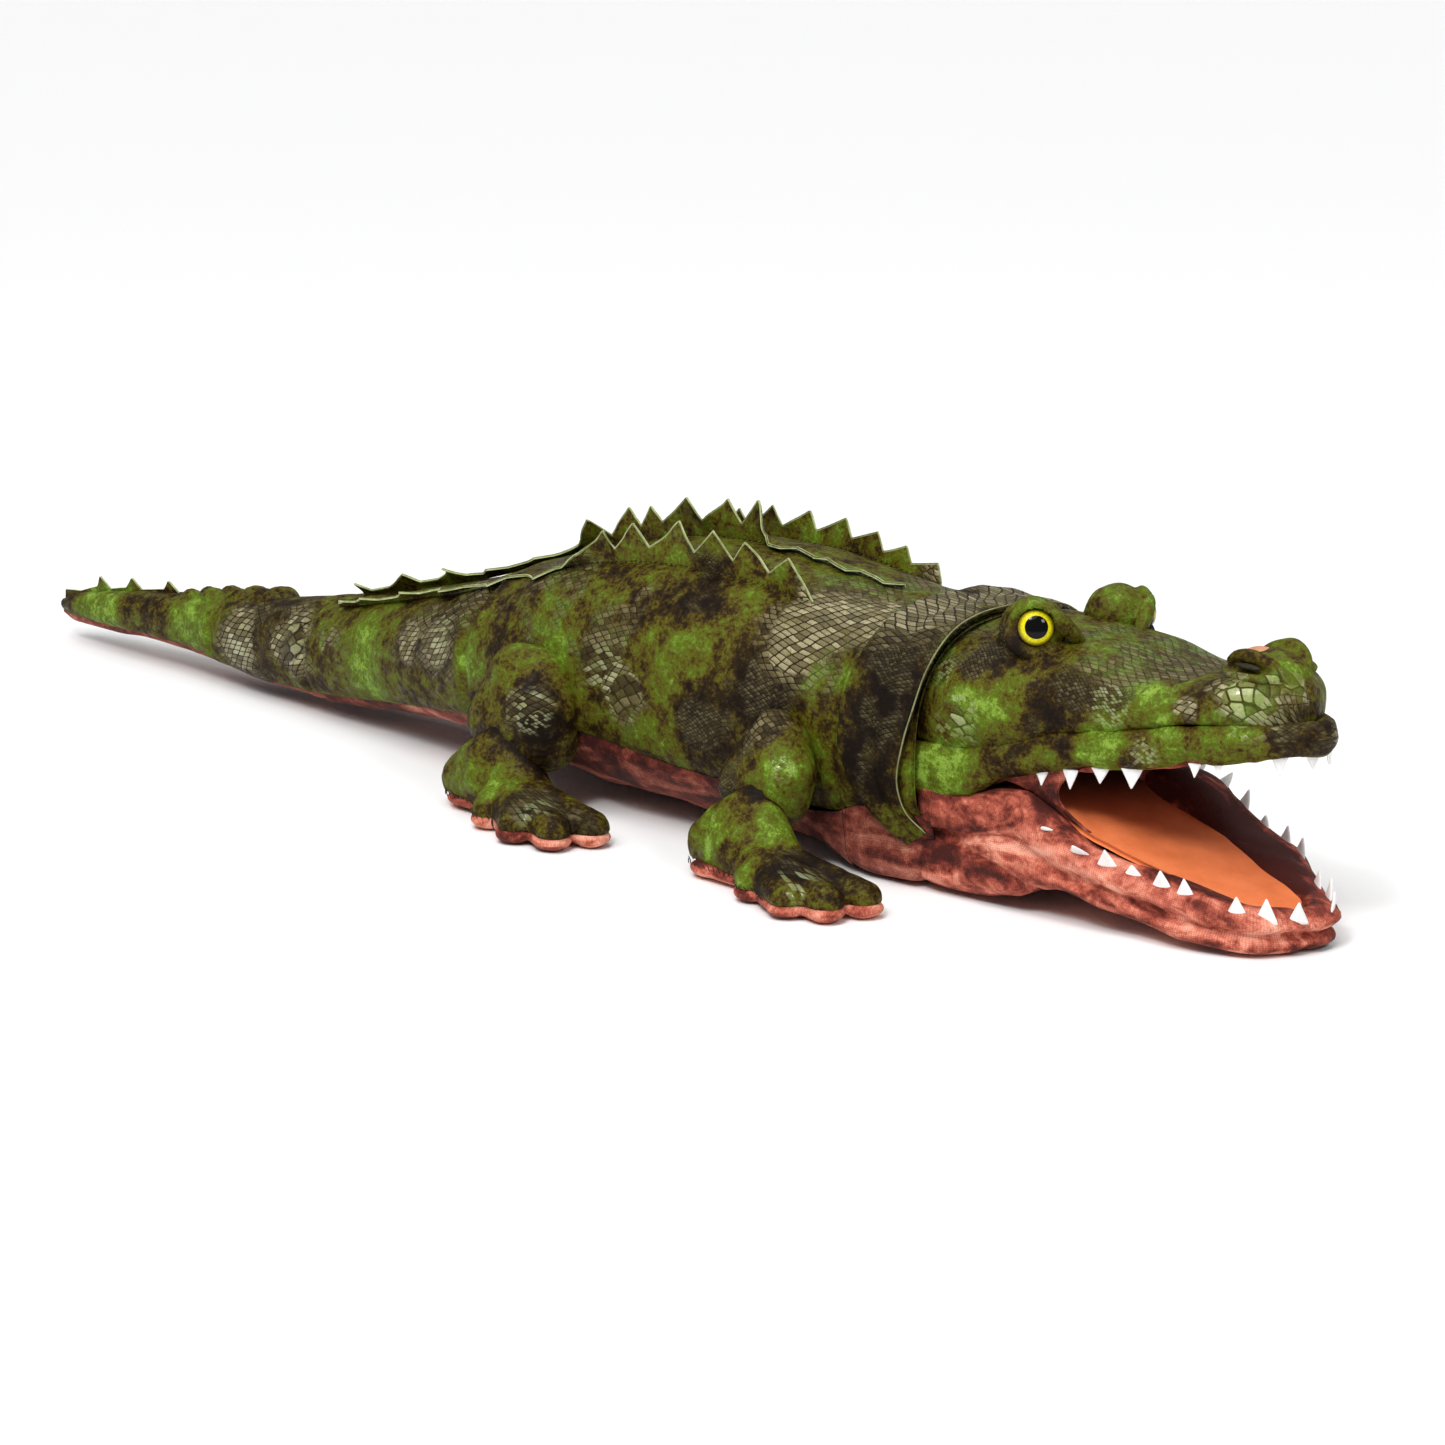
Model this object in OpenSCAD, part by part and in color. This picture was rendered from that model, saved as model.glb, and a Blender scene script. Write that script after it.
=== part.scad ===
// Moving-mouth crocodile hand puppet, stuffed plush.
// +X runs to the snout, +Y to the animal's left, +Z up; the floor is z = 0.

/* [Trunk and tail] */
// Largest half width of the trunk
trunk_half_width = 90; // [80:1:100]
// Height of the back over the floor
back_height = 159; // [145:1:170]
// Thickness of the skin layer with its backing
skin = 3; // [2:0.5:4]
// Sides of a trunk ring
trunk_sides = 24; // [16:4:32]
// Sides of a tail ring
tail_sides = 16; // [12:4:24]

/* [Head and mouth] */
// Distance of the mouth hinge from the origin
hinge_x = 350; // [345:1:355]
// Height of the mouth hinge
hinge_z = 70; // [68:1:72]
// Rise of the palate for each mm forward
palate_rise = 0.22; // [0.2:0.01:0.24]
// Fall of the mouth plate for each mm forward
plate_fall = 0.31; // [0.29:0.01:0.33]
// Diameter of the glossy eye
eye_d = 18; // [14:1:20]
// Height of a felt tooth
tooth_h = 8; // [6:0.5:9]
// Width of a felt tooth
tooth_w = 8; // [6:0.5:9]
// Thickness of a felt tooth
tooth_t = 2; // [1:0.5:2.5]

/* [Hand space] */
// Radius of the arm tunnel in the stuffing
tunnel_r = 44; // [40:1:46]
// Thickness of the sleeve lining
lining = 1.5; // [1:0.5:2]
// Height of the tunnel's centre line
tunnel_z = 85; // [80:1:90]
// Distance of the arm opening's centre from the origin
arm_x = 140; // [130:1:150]

/* [Ridges] */
// Thickness of a ridge strip
ridge_t = 2.5; // [2:0.5:3]
// Side rows stand at this fraction of the half width
row_place = 0.56; // [0.5:0.01:0.6]

/* [Joints] */
// Distance of the neck's turning axis from the origin
turn_x = 258; // [256:1:260]
// Distance of the nodding axis from the origin
nod_x = 300; // [298:1:302]
// Distances of the three tail bends from the origin
bend_1 = -150; // [-152:1:-148]
bend_2 = -290; // [-292:1:-288]
bend_3 = -410; // [-412:1:-408]
// Slope of the cone that leaves room for each bend
bend_slope = 0.19; // [0.18:0.01:0.2]
// Slope of the cones at the neck
neck_slope = 0.14; // [0.135:0.005:0.15]
// Gap between pieces that touch
gap = 0.4; // [0.3:0.1:0.6]
// Gap between the faceted skin and the fill under it
fill_gap = 1.5; // [1:0.25:2]

/* [Hidden] */

leaf_green = [0.33, 0.46, 0.16];
olive = [0.30, 0.30, 0.14];
dark_olive = [0.22, 0.19, 0.11];
salmon = [0.72, 0.34, 0.26];
orange = [0.86, 0.48, 0.27];
felt_white = [0.95, 0.95, 0.93];
fill_white = [0.85, 0.84, 0.80];
lining_black = [0.12, 0.12, 0.13];

// Roundness of the trunk's cross-section: 2 is an ellipse, more is squarer.
body_round = 2.4;
// Unit profile of the trunk: distance, half width, top and bottom height.
trunk = [
    [-541, 4, 27, 16], [-520, 10, 34, 13], [-480, 15, 41, 13], [-440, 18, 46, 15],
    [-400, 21, 51, 14], [-350, 26, 57, 10], [-300, 33, 63, 6], [-250, 39, 71, 6],
    [-200, 47, 80, 8], [-150, 56, 92, 13], [-100, 66, 106, 16], [-50, 76, 122, 14],
    [0, 84, 138, 10], [50, 88, 151, 7], [100, 90, 158, 6], [150, 88, 159, 6],
    [200, 84, 153, 5], [250, 79, 148, 4], [275, 77, 148, 3], [300, 75, 147, 3],
    [312, 73, 147, 3]
];
// Height of the seam between the printed back and the plain belly.
seam_line = [
    [-541, 18], [-400, 18], [-300, 10], [-150, 24], [-60, 36], [60, 49],
    [120, 43], [170, 39], [245, 22], [312, 20]
];
// Snout above the lip: distance, half width, top height, height of the lip seam.
snout = [
    [312, 68, 147, 84], [330, 68, 148, 86], [350, 67, 149, 90], [375, 64, 149, 95.5],
    [406, 57, 146, 102.5], [440, 49, 140, 110], [458, 44, 138, 114], [476, 42, 141, 118],
    [500, 41, 145, 123], [518, 38, 145, 127], [528, 33, 142, 129.5], [534, 24, 138, 130]
];
// Lower jaw: distance, half width, height of the roll's top, bottom height.
jaw = [
    [326, 60, 66, 6], [350, 65, 63, 4], [398, 66, 53, 2], [436, 62, 43, 1], [472, 57, 34, 0],
    [508, 51, 27, 0], [524, 45, 24, 0], [534, 38, 22, 0]
];
// Centre lines of the padded lips, right side, front last.
upper_lip_line = [
    [318, -60], [345, -60], [372, -57], [409, -51], [443, -44], [477, -37],
    [506, -32], [523, -26], [531.5, -15], [534, 0]
];
lower_lip_line = [
    [354, -57], [398, -57.5], [436, -53.5], [472, -48.5], [503, -42.5], [519, -35],
    [529, -20], [533, 0]
];
lip_half_thick = 7;
upper_lip_half_height = 9;
lower_lip_half_height = 7.5;
core_inset = 16;

function column(table, k) = [for (s = table) [s[0], s[k]]];
function along(table, k, x) = lookup(x, column(table, k));
function half_w(x) = along(trunk, 1, x) * trunk_half_width / 90;
function top_z(x) = along(trunk, 2, x) * back_height / 159;
function bot_z(x) = along(trunk, 3, x);
function palate_z(x) = hinge_z + palate_rise * (x - hinge_x);
function plate_z(x) = hinge_z - plate_fall * (x - hinge_x);
function power(c, e) = sign(c) * pow(abs(c), 2 / e);
function mirror_y(points) = [for (i = [len(points) - 1:-1:0]) [points[i][0], -points[i][1], points[i][2]]];

// One cross-section at distance x, between two heights.
function ring(x, w, zt, zb, n, e = body_round) = [
    for (i = [0:n - 1]) let (a = 360 * (i + 0.5) / n)
    [x, w * power(cos(a), e), (zt + zb) / 2 + (zt - zb) / 2 * power(sin(a), e)]
];
// Part of a cross-section, from angle a to angle b.
function arc(x, w, zt, zb, a, b, n, e = body_round) = [
    for (i = [0:n]) let (t = a + (b - a) * i / n)
    [x, w * power(cos(t), e), (zt + zb) / 2 + (zt - zb) / 2 * power(sin(t), e)]
];
function reversed(list) = [for (i = [len(list) - 1:-1:0]) list[i]];
// Angle at which a cross-section crosses height z.
function angle_at(z, zt, zb, e = body_round) =
    let (s = max(-0.97, min(0.97, (2 * z - zt - zb) / (zt - zb))))
    sign(s) * asin(pow(abs(s), e / 2));
// Height of the back at distance x and side y.
function back_z(x, y) =
    let (h = (top_z(x) - bot_z(x)) / 2)
    bot_z(x) + h + h * pow(1 - pow(min(0.98, abs(y) / half_w(x)), body_round), 1 / body_round);

// A closed solid through a list of rings that run towards +X.
module loft(rings) {
    n = len(rings[0]);
    last = (len(rings) - 1) * n;
    polyhedron(
        [for (r = rings) each r],
        concat(
            [[for (i = [0:n - 1]) i]],
            [[for (i = [n - 1:-1:0]) last + i]],
            [for (j = [0:n:last - 1], i = [0:n - 1]) [j + i, j + n + i, j + n + (i + 1) % n]],
            [for (j = [0:n:last - 1], i = [0:n - 1]) [j + i, j + n + (i + 1) % n, j + (i + 1) % n]]
        )
    );
}

// A layer between outer and inner arcs, given from its rear end to its front end.
module layer(outer, inner) {
    m = len(outer);
    n = len(outer[0]);
    size = m * n;
    function quad(a, b, c, d) = [[a, b, c], [a, c, d]];
    last = (m - 1) * n;
    polyhedron(
        concat([for (r = outer) each r], [for (r = inner) each r]),
        concat(
            [for (j = [0:n:last - 1], i = [0:n - 2]) each quad(j + i, j + n + i, j + n + i + 1, j + i + 1)],
            [for (j = [0:n:last - 1], i = [0:n - 2])
                each quad(size + j + i + 1, size + j + n + i + 1, size + j + n + i, size + j + i)],
            [for (i = [0:n - 2]) each quad(i, i + 1, size + i + 1, size + i)],
            [for (i = [0:n - 2]) each quad(last + i + 1, last + i, size + last + i, size + last + i + 1)],
            [for (j = [0:n:last - 1]) each quad(j + n, j, size + j, size + j + n)],
            [for (j = [n - 1:n:last - 1]) each quad(j, j + n, size + j + n, size + j)]
        )
    );
}

// Trunk core from cone tip to cone tip; inset keeps it under the skin.
module stuffed(x_rear, x_front, rear_slope, front_slope, inset, n) {
    rear_x = x_rear + 1 + rear_slope * half_w(x_rear);
    front_x = x_front - 1 - front_slope * half_w(x_front);
    between = [for (s = trunk) if (s[0] > rear_x + 8 && s[0] < front_x - 8) s[0]];
    stations = concat([rear_x], between, [front_x]);
    tip = 0.15;
    loft(concat(
        rear_slope > 0 ? [tip_ring(x_rear + 1 + tip * (rear_x - x_rear - 1), rear_x, tip, inset, n)] : [],
        [for (x = stations) ring(x, half_w(x) - inset, top_z(x) - inset, bot_z(x) + inset, n)],
        front_slope > 0 ? [tip_ring(x_front - 1 - tip * (x_front - 1 - front_x), front_x, tip, inset, n)] : []
    ));
}
function tip_ring(x, edge_x, tip, inset, n) =
    let (zc = (top_z(edge_x) + bot_z(edge_x)) / 2, h = (top_z(edge_x) - bot_z(edge_x)) / 2 - inset)
    ring(x, tip * (half_w(edge_x) - inset), zc + tip * h, zc - tip * h, n);

// Skin layer over the trunk between two distances; upper is the printed back.
module skin_band(x_rear, x_front, upper, n) {
    between = [for (s = trunk) if (s[0] > x_rear + 8 && s[0] < x_front - 8) s[0]];
    stations = concat([x_rear], between, [x_front]);
    function seam_angle(x) = angle_at(lookup(x, seam_line), top_z(x), bot_z(x));
    function side(x, inset) =
        let (s = seam_angle(x), a = upper ? s : 180.8 - s, b = upper ? 180 - s : 359.2 + s)
        arc(x, half_w(x) - inset, top_z(x) - inset, bot_z(x) + inset, a, b, n);
    layer([for (x = stations) side(x, 0)], [for (x = stations) side(x, skin)]);
}

module arm_space(r) {
    translate([arm_x, 0, tunnel_z]) rotate([0, 90, 0]) cylinder(r = r, h = 130, $fn = 48);
    translate([arm_x, 0, tunnel_z]) sphere(r = r, $fn = 48);
    translate([arm_x, 0, -5]) cylinder(r = r, h = tunnel_z + 5, $fn = 48);
}

module back_skin() {
    color(leaf_green)
    skin_band(bend_1 + 1 + bend_slope * half_w(bend_1), turn_x - 1 - neck_slope * half_w(turn_x), true, 18);
}

module belly_panel() {
    color(salmon)
    difference() {
        skin_band(bend_1 + 1 + bend_slope * half_w(bend_1), turn_x - 1 - neck_slope * half_w(turn_x), false, 10);
        translate([arm_x, 0, -5]) cylinder(r = tunnel_r, h = 40, $fn = 48);
    }
}

module torso_stuffing() {
    color(fill_white)
    difference() {
        stuffed(bend_1, turn_x, bend_slope, neck_slope, skin + fill_gap, trunk_sides);
        arm_space(tunnel_r);
    }
}

module arm_sleeve() {
    sleeve_end = turn_x - 1 - neck_slope * tunnel_r - 1;
    color(lining_black)
    intersection() {
        difference() {
            arm_space(tunnel_r - gap);
            arm_space(tunnel_r - gap - lining);
        }
        translate([0, -100, 12]) cube([sleeve_end, 200, 200]);
    }
}

// Ridge rows: distance and height of each point over the back, tips and valleys.
center_teeth = [
    [-134, 9], [-124, 12], [-113, 8], [-100, 9], [-87, 12], [-76, 8], [-60, 10], [-42, 14], [-33, 9],
    [-16, 11], [2, 17], [7, 9], [20, 22], [27, 10], [38, 22], [47, 11], [73, 26], [82, 11],
    [100, 26], [110, 11], [127, 29], [139, 9], [155, 10], [160, 6], [180, 8], [186, 5], [205, 7],
    [211, 4], [232, 6]
];
side_teeth = [
    [-134, 5], [-110, 8], [-98, 4], [-70, 9], [-60, 5], [-30, 9], [-18, 5], [10, 10], [20, 6],
    [48, 20], [58, 8], [74, 24], [84, 9], [112, 30], [122, 10], [142, 28], [152, 9], [162, 26],
    [176, 8], [202, 26], [222, 1]
];
tail_teeth = [[-226, 1], [-222, 8], [-212, 5], [-200, 6], [-186, 10], [-176, 6], [-166, 9]];

module ridge(teeth, side, tall = 0.8) {
    loft([
        for (t = teeth)
        let (
            y = side * row_place * half_w(t[0]),
            z = back_z(t[0], y - sign(y) * ridge_t / 2) + gap,
            h = t[1] * tall
        )
        [
            [t[0], y - ridge_t / 2, z + h], [t[0], y - ridge_t / 2, z],
            [t[0], y + ridge_t / 2, z], [t[0], y + ridge_t / 2, z + h]
        ]
    ]);
}

module ridge_center() {
    color(leaf_green) ridge(center_teeth, 0);
}

module ridge_left() {
    color(leaf_green) ridge(side_teeth, 1, 0.7);
}

module ridge_right() {
    color(leaf_green) ridge(side_teeth, -1);
}

module neck_stuffing() {
    color(olive)
    difference() {
        stuffed(turn_x, nod_x, neck_slope, neck_slope, 0, trunk_sides);
        translate([turn_x - 5, 0, tunnel_z]) rotate([0, 90, 0]) cylinder(r = tunnel_r, h = 60, $fn = 48);
    }
}

// Loose flap round the jowls: front and rear edges, right side, top first.
collar_front = [
    [320, 0, 153], [320, -25, 152], [319, -50, 145], [317, -70, 125], [313, -76, 102],
    [310, -78, 82], [310, -76, 56], [314, -68, 34]
];
collar_rear = [
    [284, 0, 152], [283, -25, 151], [281, -52, 143], [277, -73, 124], [273, -80, 102],
    [273, -83, 78], [284, -81, 53], [302, -72, 36]
];
collar_t = 2.5;

module collar() {
    function outward(p) = let (v = [0, p[1], p[2] - tunnel_z]) v / norm(v);
    function section(f, r) = [f, r, r + collar_t * outward(r), f + collar_t * outward(f)];
    last = len(collar_front) - 1;
    right = [for (i = [last:-1:0]) section(collar_front[i], collar_rear[i])];
    left = [for (i = [1:last]) [for (p = right[last - i]) [p[0], -p[1], p[2]]]];
    color(dark_olive) loft(concat(right, left));
}

// Underside of the head's core: a slope behind the hinge, the palate before it.
function core_bottom(x) = x < hinge_x
    ? max(5, hinge_z - 1.49 * (hinge_x - x))
    : palate_z(x) + 3;

module hand_space_in_head(extra) {
    pocket_l = 100;
    translate([turn_x, 0, tunnel_z]) rotate([0, 90, 0]) cylinder(r = 41 - extra, h = 82, $fn = 48);
    translate([turn_x + 82, 0, tunnel_z]) sphere(r = 41 - extra, $fn = 48);
    translate([hinge_x - 10, 0, hinge_z + 4 + extra]) rotate([0, -atan(palate_rise), 0])
        translate([0, -30 + extra, 0]) cube([pocket_l, 60 - 2 * extra, 22 - 2 * extra]);
}

module head_foam() {
    stations = [304, 312, 324, 336, 350, 375, 406, 440, 458, 476, 500, 514];
    color(fill_white)
    difference() {
        loft([
            for (x = stations)
            let (
                w = max(9, along(snout, 1, x) - core_inset - fill_gap - max(0, 324 - x) * 0.1),
                zt = along(snout, 2, x) - skin - fill_gap,
                cone = x < 312 ? 0.6 : 1,
                zb = core_bottom(x)
            )
            ring(x, w * cone, tunnel_z + (zt - tunnel_z) * cone, tunnel_z + (zb - tunnel_z) * cone, trunk_sides, 3)
        ]);
        hand_space_in_head(0);
    }
}

module head_skin() {
    n = 16;
    stations = [for (s = snout) if (s[0] < 530) s[0]];
    function outer_base(x) = along(snout, 3, x) - (along(snout, 2, x) - along(snout, 3, x)) * 0.25;
    function outer_arc(x) =
        let (zt = along(snout, 2, x), a = angle_at(along(snout, 3, x), zt, outer_base(x)))
        arc(x, along(snout, 1, x), zt, outer_base(x), a, 180 - a, n);
    function inner_arc(x) =
        let (zt = along(snout, 2, x) - skin, b = angle_at(along(snout, 3, x), zt, core_bottom(x), 3))
        arc(x, max(10, along(snout, 1, x) - core_inset) + gap, zt, core_bottom(x), b, 180 - b, n, 3);
    color(leaf_green)
    layer([for (x = stations) outer_arc(x)], [for (x = stations) inner_arc(x)]);
}

// A padded roll along a line of points, right side given, made whole round the front.
module roll(line, half_thick, half_height, n = 10) {
    right = [for (p = line) p];
    path = concat(right, [for (i = [len(right) - 2:-1:0]) [right[i][0], -right[i][1], right[i][2]]]);
    last = len(path) - 1;
    loft([
        for (i = [last:-1:0])
        let (
            before = path[max(0, i - 1)], after = path[min(last, i + 1)],
            d = [after[0] - before[0], after[1] - before[1], 0],
            side = [-d[1], d[0], 0] / norm(d),
            s = i == 0 || i == last ? 0.55 : 1
        )
        [
            for (k = [0:n - 1]) let (a = 360 * k / n)
            path[i] + s * half_thick * cos(a) * side + [0, 0, s * half_height * sin(a)]
        ]
    ]);
}

module upper_lip() {
    line = [
        for (p = upper_lip_line)
        [p[0], p[1], palate_z(p[0]) + upper_lip_half_height + 0.5 - max(0, 345 - p[0]) * 0.05]
    ];
    color(leaf_green) roll(line, lip_half_thick, upper_lip_half_height);
}

module palate_board() {
    // Outline of the stiff palate, narrower than the lip rolls round it.
    edge = [
        for (p = upper_lip_line) if (p[0] > 350 && p[1] < -20)
        [p[0] - hinge_x, p[1] + lip_half_thick + 1.5]
    ];
    color(salmon)
    translate([hinge_x, 0, hinge_z + 0.2]) rotate([0, -atan(palate_rise), 0])
        linear_extrude(2.2)
        polygon(concat([[6, -40]], edge, reversed([for (p = edge) [p[0], -p[1]]]), [[6, 40]]));
}

module finger_pocket() {
    color(lining_black)
    translate([hinge_x - 10, 0, hinge_z + 4]) rotate([0, -atan(palate_rise), 0])
        translate([6, -30, 0]) difference() {
            translate([0, gap, gap]) cube([94 - gap, 60 - 2 * gap, 22 - 2 * gap]);
            translate([-1, gap + lining, gap + lining])
                cube([94 - gap - lining, 60 - 2 * (gap + lining), 22 - 2 * (gap + lining)]);
        }
}

// Eye: centre of the stuffed ball and the direction the eye looks.
ball = [367, 36, 147];
ball_r = 19;
look_up = 13;
look_out = 45;
eye_base = 14;
dome_h = 6;

module on_ball(side) {
    translate([ball[0], side * ball[1], ball[2]]) rotate([0, 90 - look_up, side * look_out]) children();
}

// The head's outer shape, a little larger, to trim what sits on it.
module head_block() {
    loft([
        for (s = snout) if (s[0] < 530)
        let (base = s[3] - (s[2] - s[3]) * 0.25)
        ring(s[0], s[1] + 1, s[2] + 1, base - 1, 48)
    ]);
}

module eye_mound(side) {
    color(leaf_green)
    difference() {
        translate([ball[0], side * ball[1], ball[2]]) sphere(r = ball_r, $fn = 40);
        head_block();
        on_ball(side) translate([0, 0, eye_base]) cylinder(r = 20, h = 20);
        on_ball(side) translate([0, 0, 11]) cylinder(r = 2.6, h = 20, $fn = 24);
        on_ball(side) translate([0, 0, 8]) cylinder(r = 6.6, h = 4, $fn = 32);
    }
}

module eyelid(side) {
    color(olive)
    difference() {
        translate([ball[0], side * ball[1], ball[2]]) sphere(r = ball_r + gap + 2.6, $fn = 40);
        translate([ball[0], side * ball[1], ball[2]]) sphere(r = ball_r + gap, $fn = 40);
        head_block();
        on_ball(side) translate([-3, 0, 0]) cylinder(r = eye_d / 2 + 2.2, h = 40, $fn = 40);
        translate([ball[0] - 45, side * ball[1] - 30, ball[2] - 30]) cube([32, 60, 60]);
        translate([ball[0] - 30, side * ball[1] - 30, ball[2] - 30]) cube([60, 60, 32]);
    }
}

module eye(side) {
    dome_r = (pow(eye_d / 2, 2) + pow(dome_h, 2)) / (2 * dome_h);
    color("gold")
    on_ball(side) translate([0, 0, eye_base + 0.2]) {
        intersection() {
            translate([0, 0, dome_h - dome_r]) sphere(r = dome_r, $fn = 40);
            cylinder(r = eye_d, h = eye_d, $fn = 24);
        }
        translate([0, 0, -4.8]) cylinder(r = 2.2, h = 4.9, $fn = 24);
    }
}

module eye_washer(side) {
    color("black")
    on_ball(side) translate([0, 0, 10]) difference() {
        cylinder(r = 6, h = 1.6, $fn = 32);
        translate([0, 0, -1]) cylinder(r = 2.4, h = 5, $fn = 24);
    }
}

// Nose bump: distance, half width and top height.
nose = [
    [470, 12, 146], [478, 20, 151], [490, 24, 155], [504, 24, 156], [518, 20, 152], [524, 12, 147]
];

module nose_shape(extra) {
    loft([for (s = nose) ring(s[0], s[1] + extra, s[2] + extra, 132 - extra, 16, 2)]);
}

module nose_pad() {
    color(olive)
    difference() {
        nose_shape(0);
        head_block();
    }
}

module nostril(side) {
    color(dark_olive)
    difference() {
        translate([494, side * 25, 150]) rotate([side * -38, 0, 0])
            rotate_extrude($fn = 32) translate([8, 0]) circle(r = 2.4, $fn = 16);
        head_block();
        nose_shape(gap);
    }
}

module felt_tooth(h) {
    rotate([90, 0, 0]) translate([0, 0, -tooth_t / 2]) linear_extrude(tooth_t)
        polygon([[-tooth_w / 2, 0], [tooth_w / 2, 0], [0, h]]);
}

// Teeth of the upper row, right side: distance, side, turn about Z.
upper_tooth_places = [
    [390, -44, 10], [408, -42, 10], [427, -38, 10], [446, -35, 10], [478, -29, 8], [494, -26, 8],
    [517, -17, 40], [523, -6, 75]
];

module upper_teeth() {
    color(felt_white)
    for (side = [-1, 1], p = upper_tooth_places)
        translate([p[0], -side * p[1], palate_z(p[0]) - 0.4])
            rotate([180, 0, 0]) rotate([0, atan(palate_rise), 0]) rotate([0, 0, side * p[2]]) felt_tooth(tooth_h);
}

// Jaw skin and core: the roll lies on top of both.
function core_top(x) = x < hinge_x ? hinge_z - 2.1 * (hinge_x - x) : plate_z(x) - 3.4;
function roll_z(x) = along(jaw, 2, x) - lower_lip_half_height;

jaw_stations = [332, 350, 375, 398, 436, 472, 500, 512];
// Height at which the jaw's skin ends, under the padded roll.
function jaw_seam_z(x) =
    let (under_roll = min(roll_z(x) - lower_lip_half_height - gap, core_top(x) + 4))
    max(along(jaw, 3, x) + 5, x < hinge_x ? min(under_roll, core_top(x)) : under_roll);
function upper_point(x, w, zm, h, a) = [x, w * power(cos(a), 4), zm + h * power(sin(a), 4)];

module jaw_foam() {
    color(fill_white)
    difference() {
        loft([
            for (x = jaw_stations)
            let (
                w = along(jaw, 1, x) - core_inset - 1 - fill_gap,
                zm = jaw_seam_z(x),
                zb = along(jaw, 3, x) + skin + fill_gap,
                zt = max(zm + 1, core_top(x))
            )
            concat(
                [for (k = [0:11]) upper_point(x, w, zm, zt - zm, 15 * k)],
                [for (k = [12:23]) upper_point(x, w, zm, zm - zb, 15 * k)]
            )
        ]);
        thumb_space(0);
    }
}

module thumb_space(extra) {
    translate([hinge_x + 4, 0, hinge_z - 8 - extra]) rotate([0, atan(plate_fall), 0])
        translate([-30, -22 + extra, -22 + 2 * extra]) cube([90 - extra, 44 - 2 * extra, 22 - 2 * extra]);
}

module jaw_skin() {
    function lower_half(x, w, bottom, e) =
        arc(x, w, 2 * jaw_seam_z(x) - bottom, bottom, 180, 360, 12, e);
    color(salmon)
    layer(
        [for (x = jaw_stations) lower_half(x, along(jaw, 1, x), along(jaw, 3, x), 3)],
        [for (x = jaw_stations)
            lower_half(x, along(jaw, 1, x) - core_inset - 1, along(jaw, 3, x) + skin, 4)]
    );
}

module lower_lip() {
    line = [for (p = lower_lip_line) [p[0], p[1], roll_z(p[0])]];
    color(salmon) roll(line, lip_half_thick + 1, lower_lip_half_height);
}

module mouth_plate() {
    edge = [for (p = lower_lip_line) if (p[0] > 360 && p[1] < -20) [p[0] - hinge_x, p[1] + 9.5]];
    color(orange)
    translate([hinge_x, 0, hinge_z - 0.6]) rotate([0, atan(plate_fall), 0])
        translate([0, 0, -2.5]) linear_extrude(2.5)
        polygon(concat([[8, -42]], edge, [[172, -9]], [[172, 9]], reversed([for (p = edge) [p[0], -p[1]]]), [[8, 42]]));
}

module thumb_pocket() {
    color(lining_black)
    difference() {
        intersection() {
            thumb_space(gap);
            translate([hinge_x - 4, -50, 0]) cube([100, 100, 100]);
        }
        thumb_space(gap + lining);
    }
}

lower_tooth_places = [
    [404, -55, 10, 5], [424, -53, 10, 7], [441, -50, 10, 8], [459, -48, 10, 5], [475, -45, 10, 8],
    [489, -42, 12, 8], [513, -36, 25, 8], [527, -28, 40, 8], [537, -12, 75, 7]
];

module lower_teeth() {
    color(felt_white)
    for (side = [-1, 1], p = lower_tooth_places)
        translate([p[0], -side * p[1], along(jaw, 2, p[0]) + 0.3])
            rotate([0, 12, 0]) rotate([0, 0, -side * p[2]]) felt_tooth(p[3]);
}

// Legs, right side. Each has a hip or shoulder and a knee or elbow.
sole_t = 6;
fold_z = 32;

module thigh_shape(balls, y_in) {
    intersection() {
        hull() for (b = balls) translate([b[0], b[1], b[2]]) sphere(r = b[3], $fn = 20);
        translate([-300, -300 - y_in, fold_z + gap]) cube([900, 300, 200]);
    }
}

module foot_shape(shank, toes) {
    intersection() {
        union() {
            hull() {
                for (b = shank) translate([b[0], b[1], b[2]]) sphere(r = b[3], $fn = 20);
                for (t = toes) translate([t[0], t[1], sole_t + 2]) sphere(r = t[2], $fn = 14);
            }
        }
        translate([-300, -300, sole_t + gap]) cube([900, 300, fold_z - sole_t - 2 * gap]);
    }
}

module sole_shape(heel, toes) {
    linear_extrude(sole_t) union() {
        hull() {
            translate([heel[0], heel[1]]) circle(r = heel[2], $fn = 24);
            for (t = toes) translate([0.86 * t[0] + 0.14 * heel[0], 0.9 * t[1] + 0.1 * heel[1]]) circle(r = t[2], $fn = 24);
        }
        for (t = toes) translate([t[0], t[1]]) circle(r = t[2], $fn = 24);
    }
}

hind_thigh = [[20, -96, 80, 18], [47, -98, 62, 22], [48, -98, 46, 22], [6, -97, 50, 20]];
front_thigh = [[225, -94, 74, 17], [245, -96, 58, 22], [238, -98, 44, 22], [214, -96, 46, 18]];
hind_shank = [[-3, -110, 16, 19], [24, -113, 18, 20], [56, -114, 14, 17]];
front_shank = [[206, -114, 16, 19], [238, -118, 18, 20], [268, -122, 12, 15]];
hind_toes = [[46, -141, 7], [80, -153, 7], [110, -150, 7], [121, -124, 7]];
front_toes = [[262, -143, 7], [299, -157, 7], [319, -149, 7], [321, -122, 7]];
hind_heel = [2, -113, 14];
front_heel = [212, -122, 14];

module right_or_left(side) {
    if (side < 0) children();
    else mirror([0, 1, 0]) children();
}

module thigh_front(side) {
    color(olive) right_or_left(side) thigh_shape(front_thigh, 88);
}

module thigh_hind(side) {
    color(olive) right_or_left(side) thigh_shape(hind_thigh, 91);
}

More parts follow.
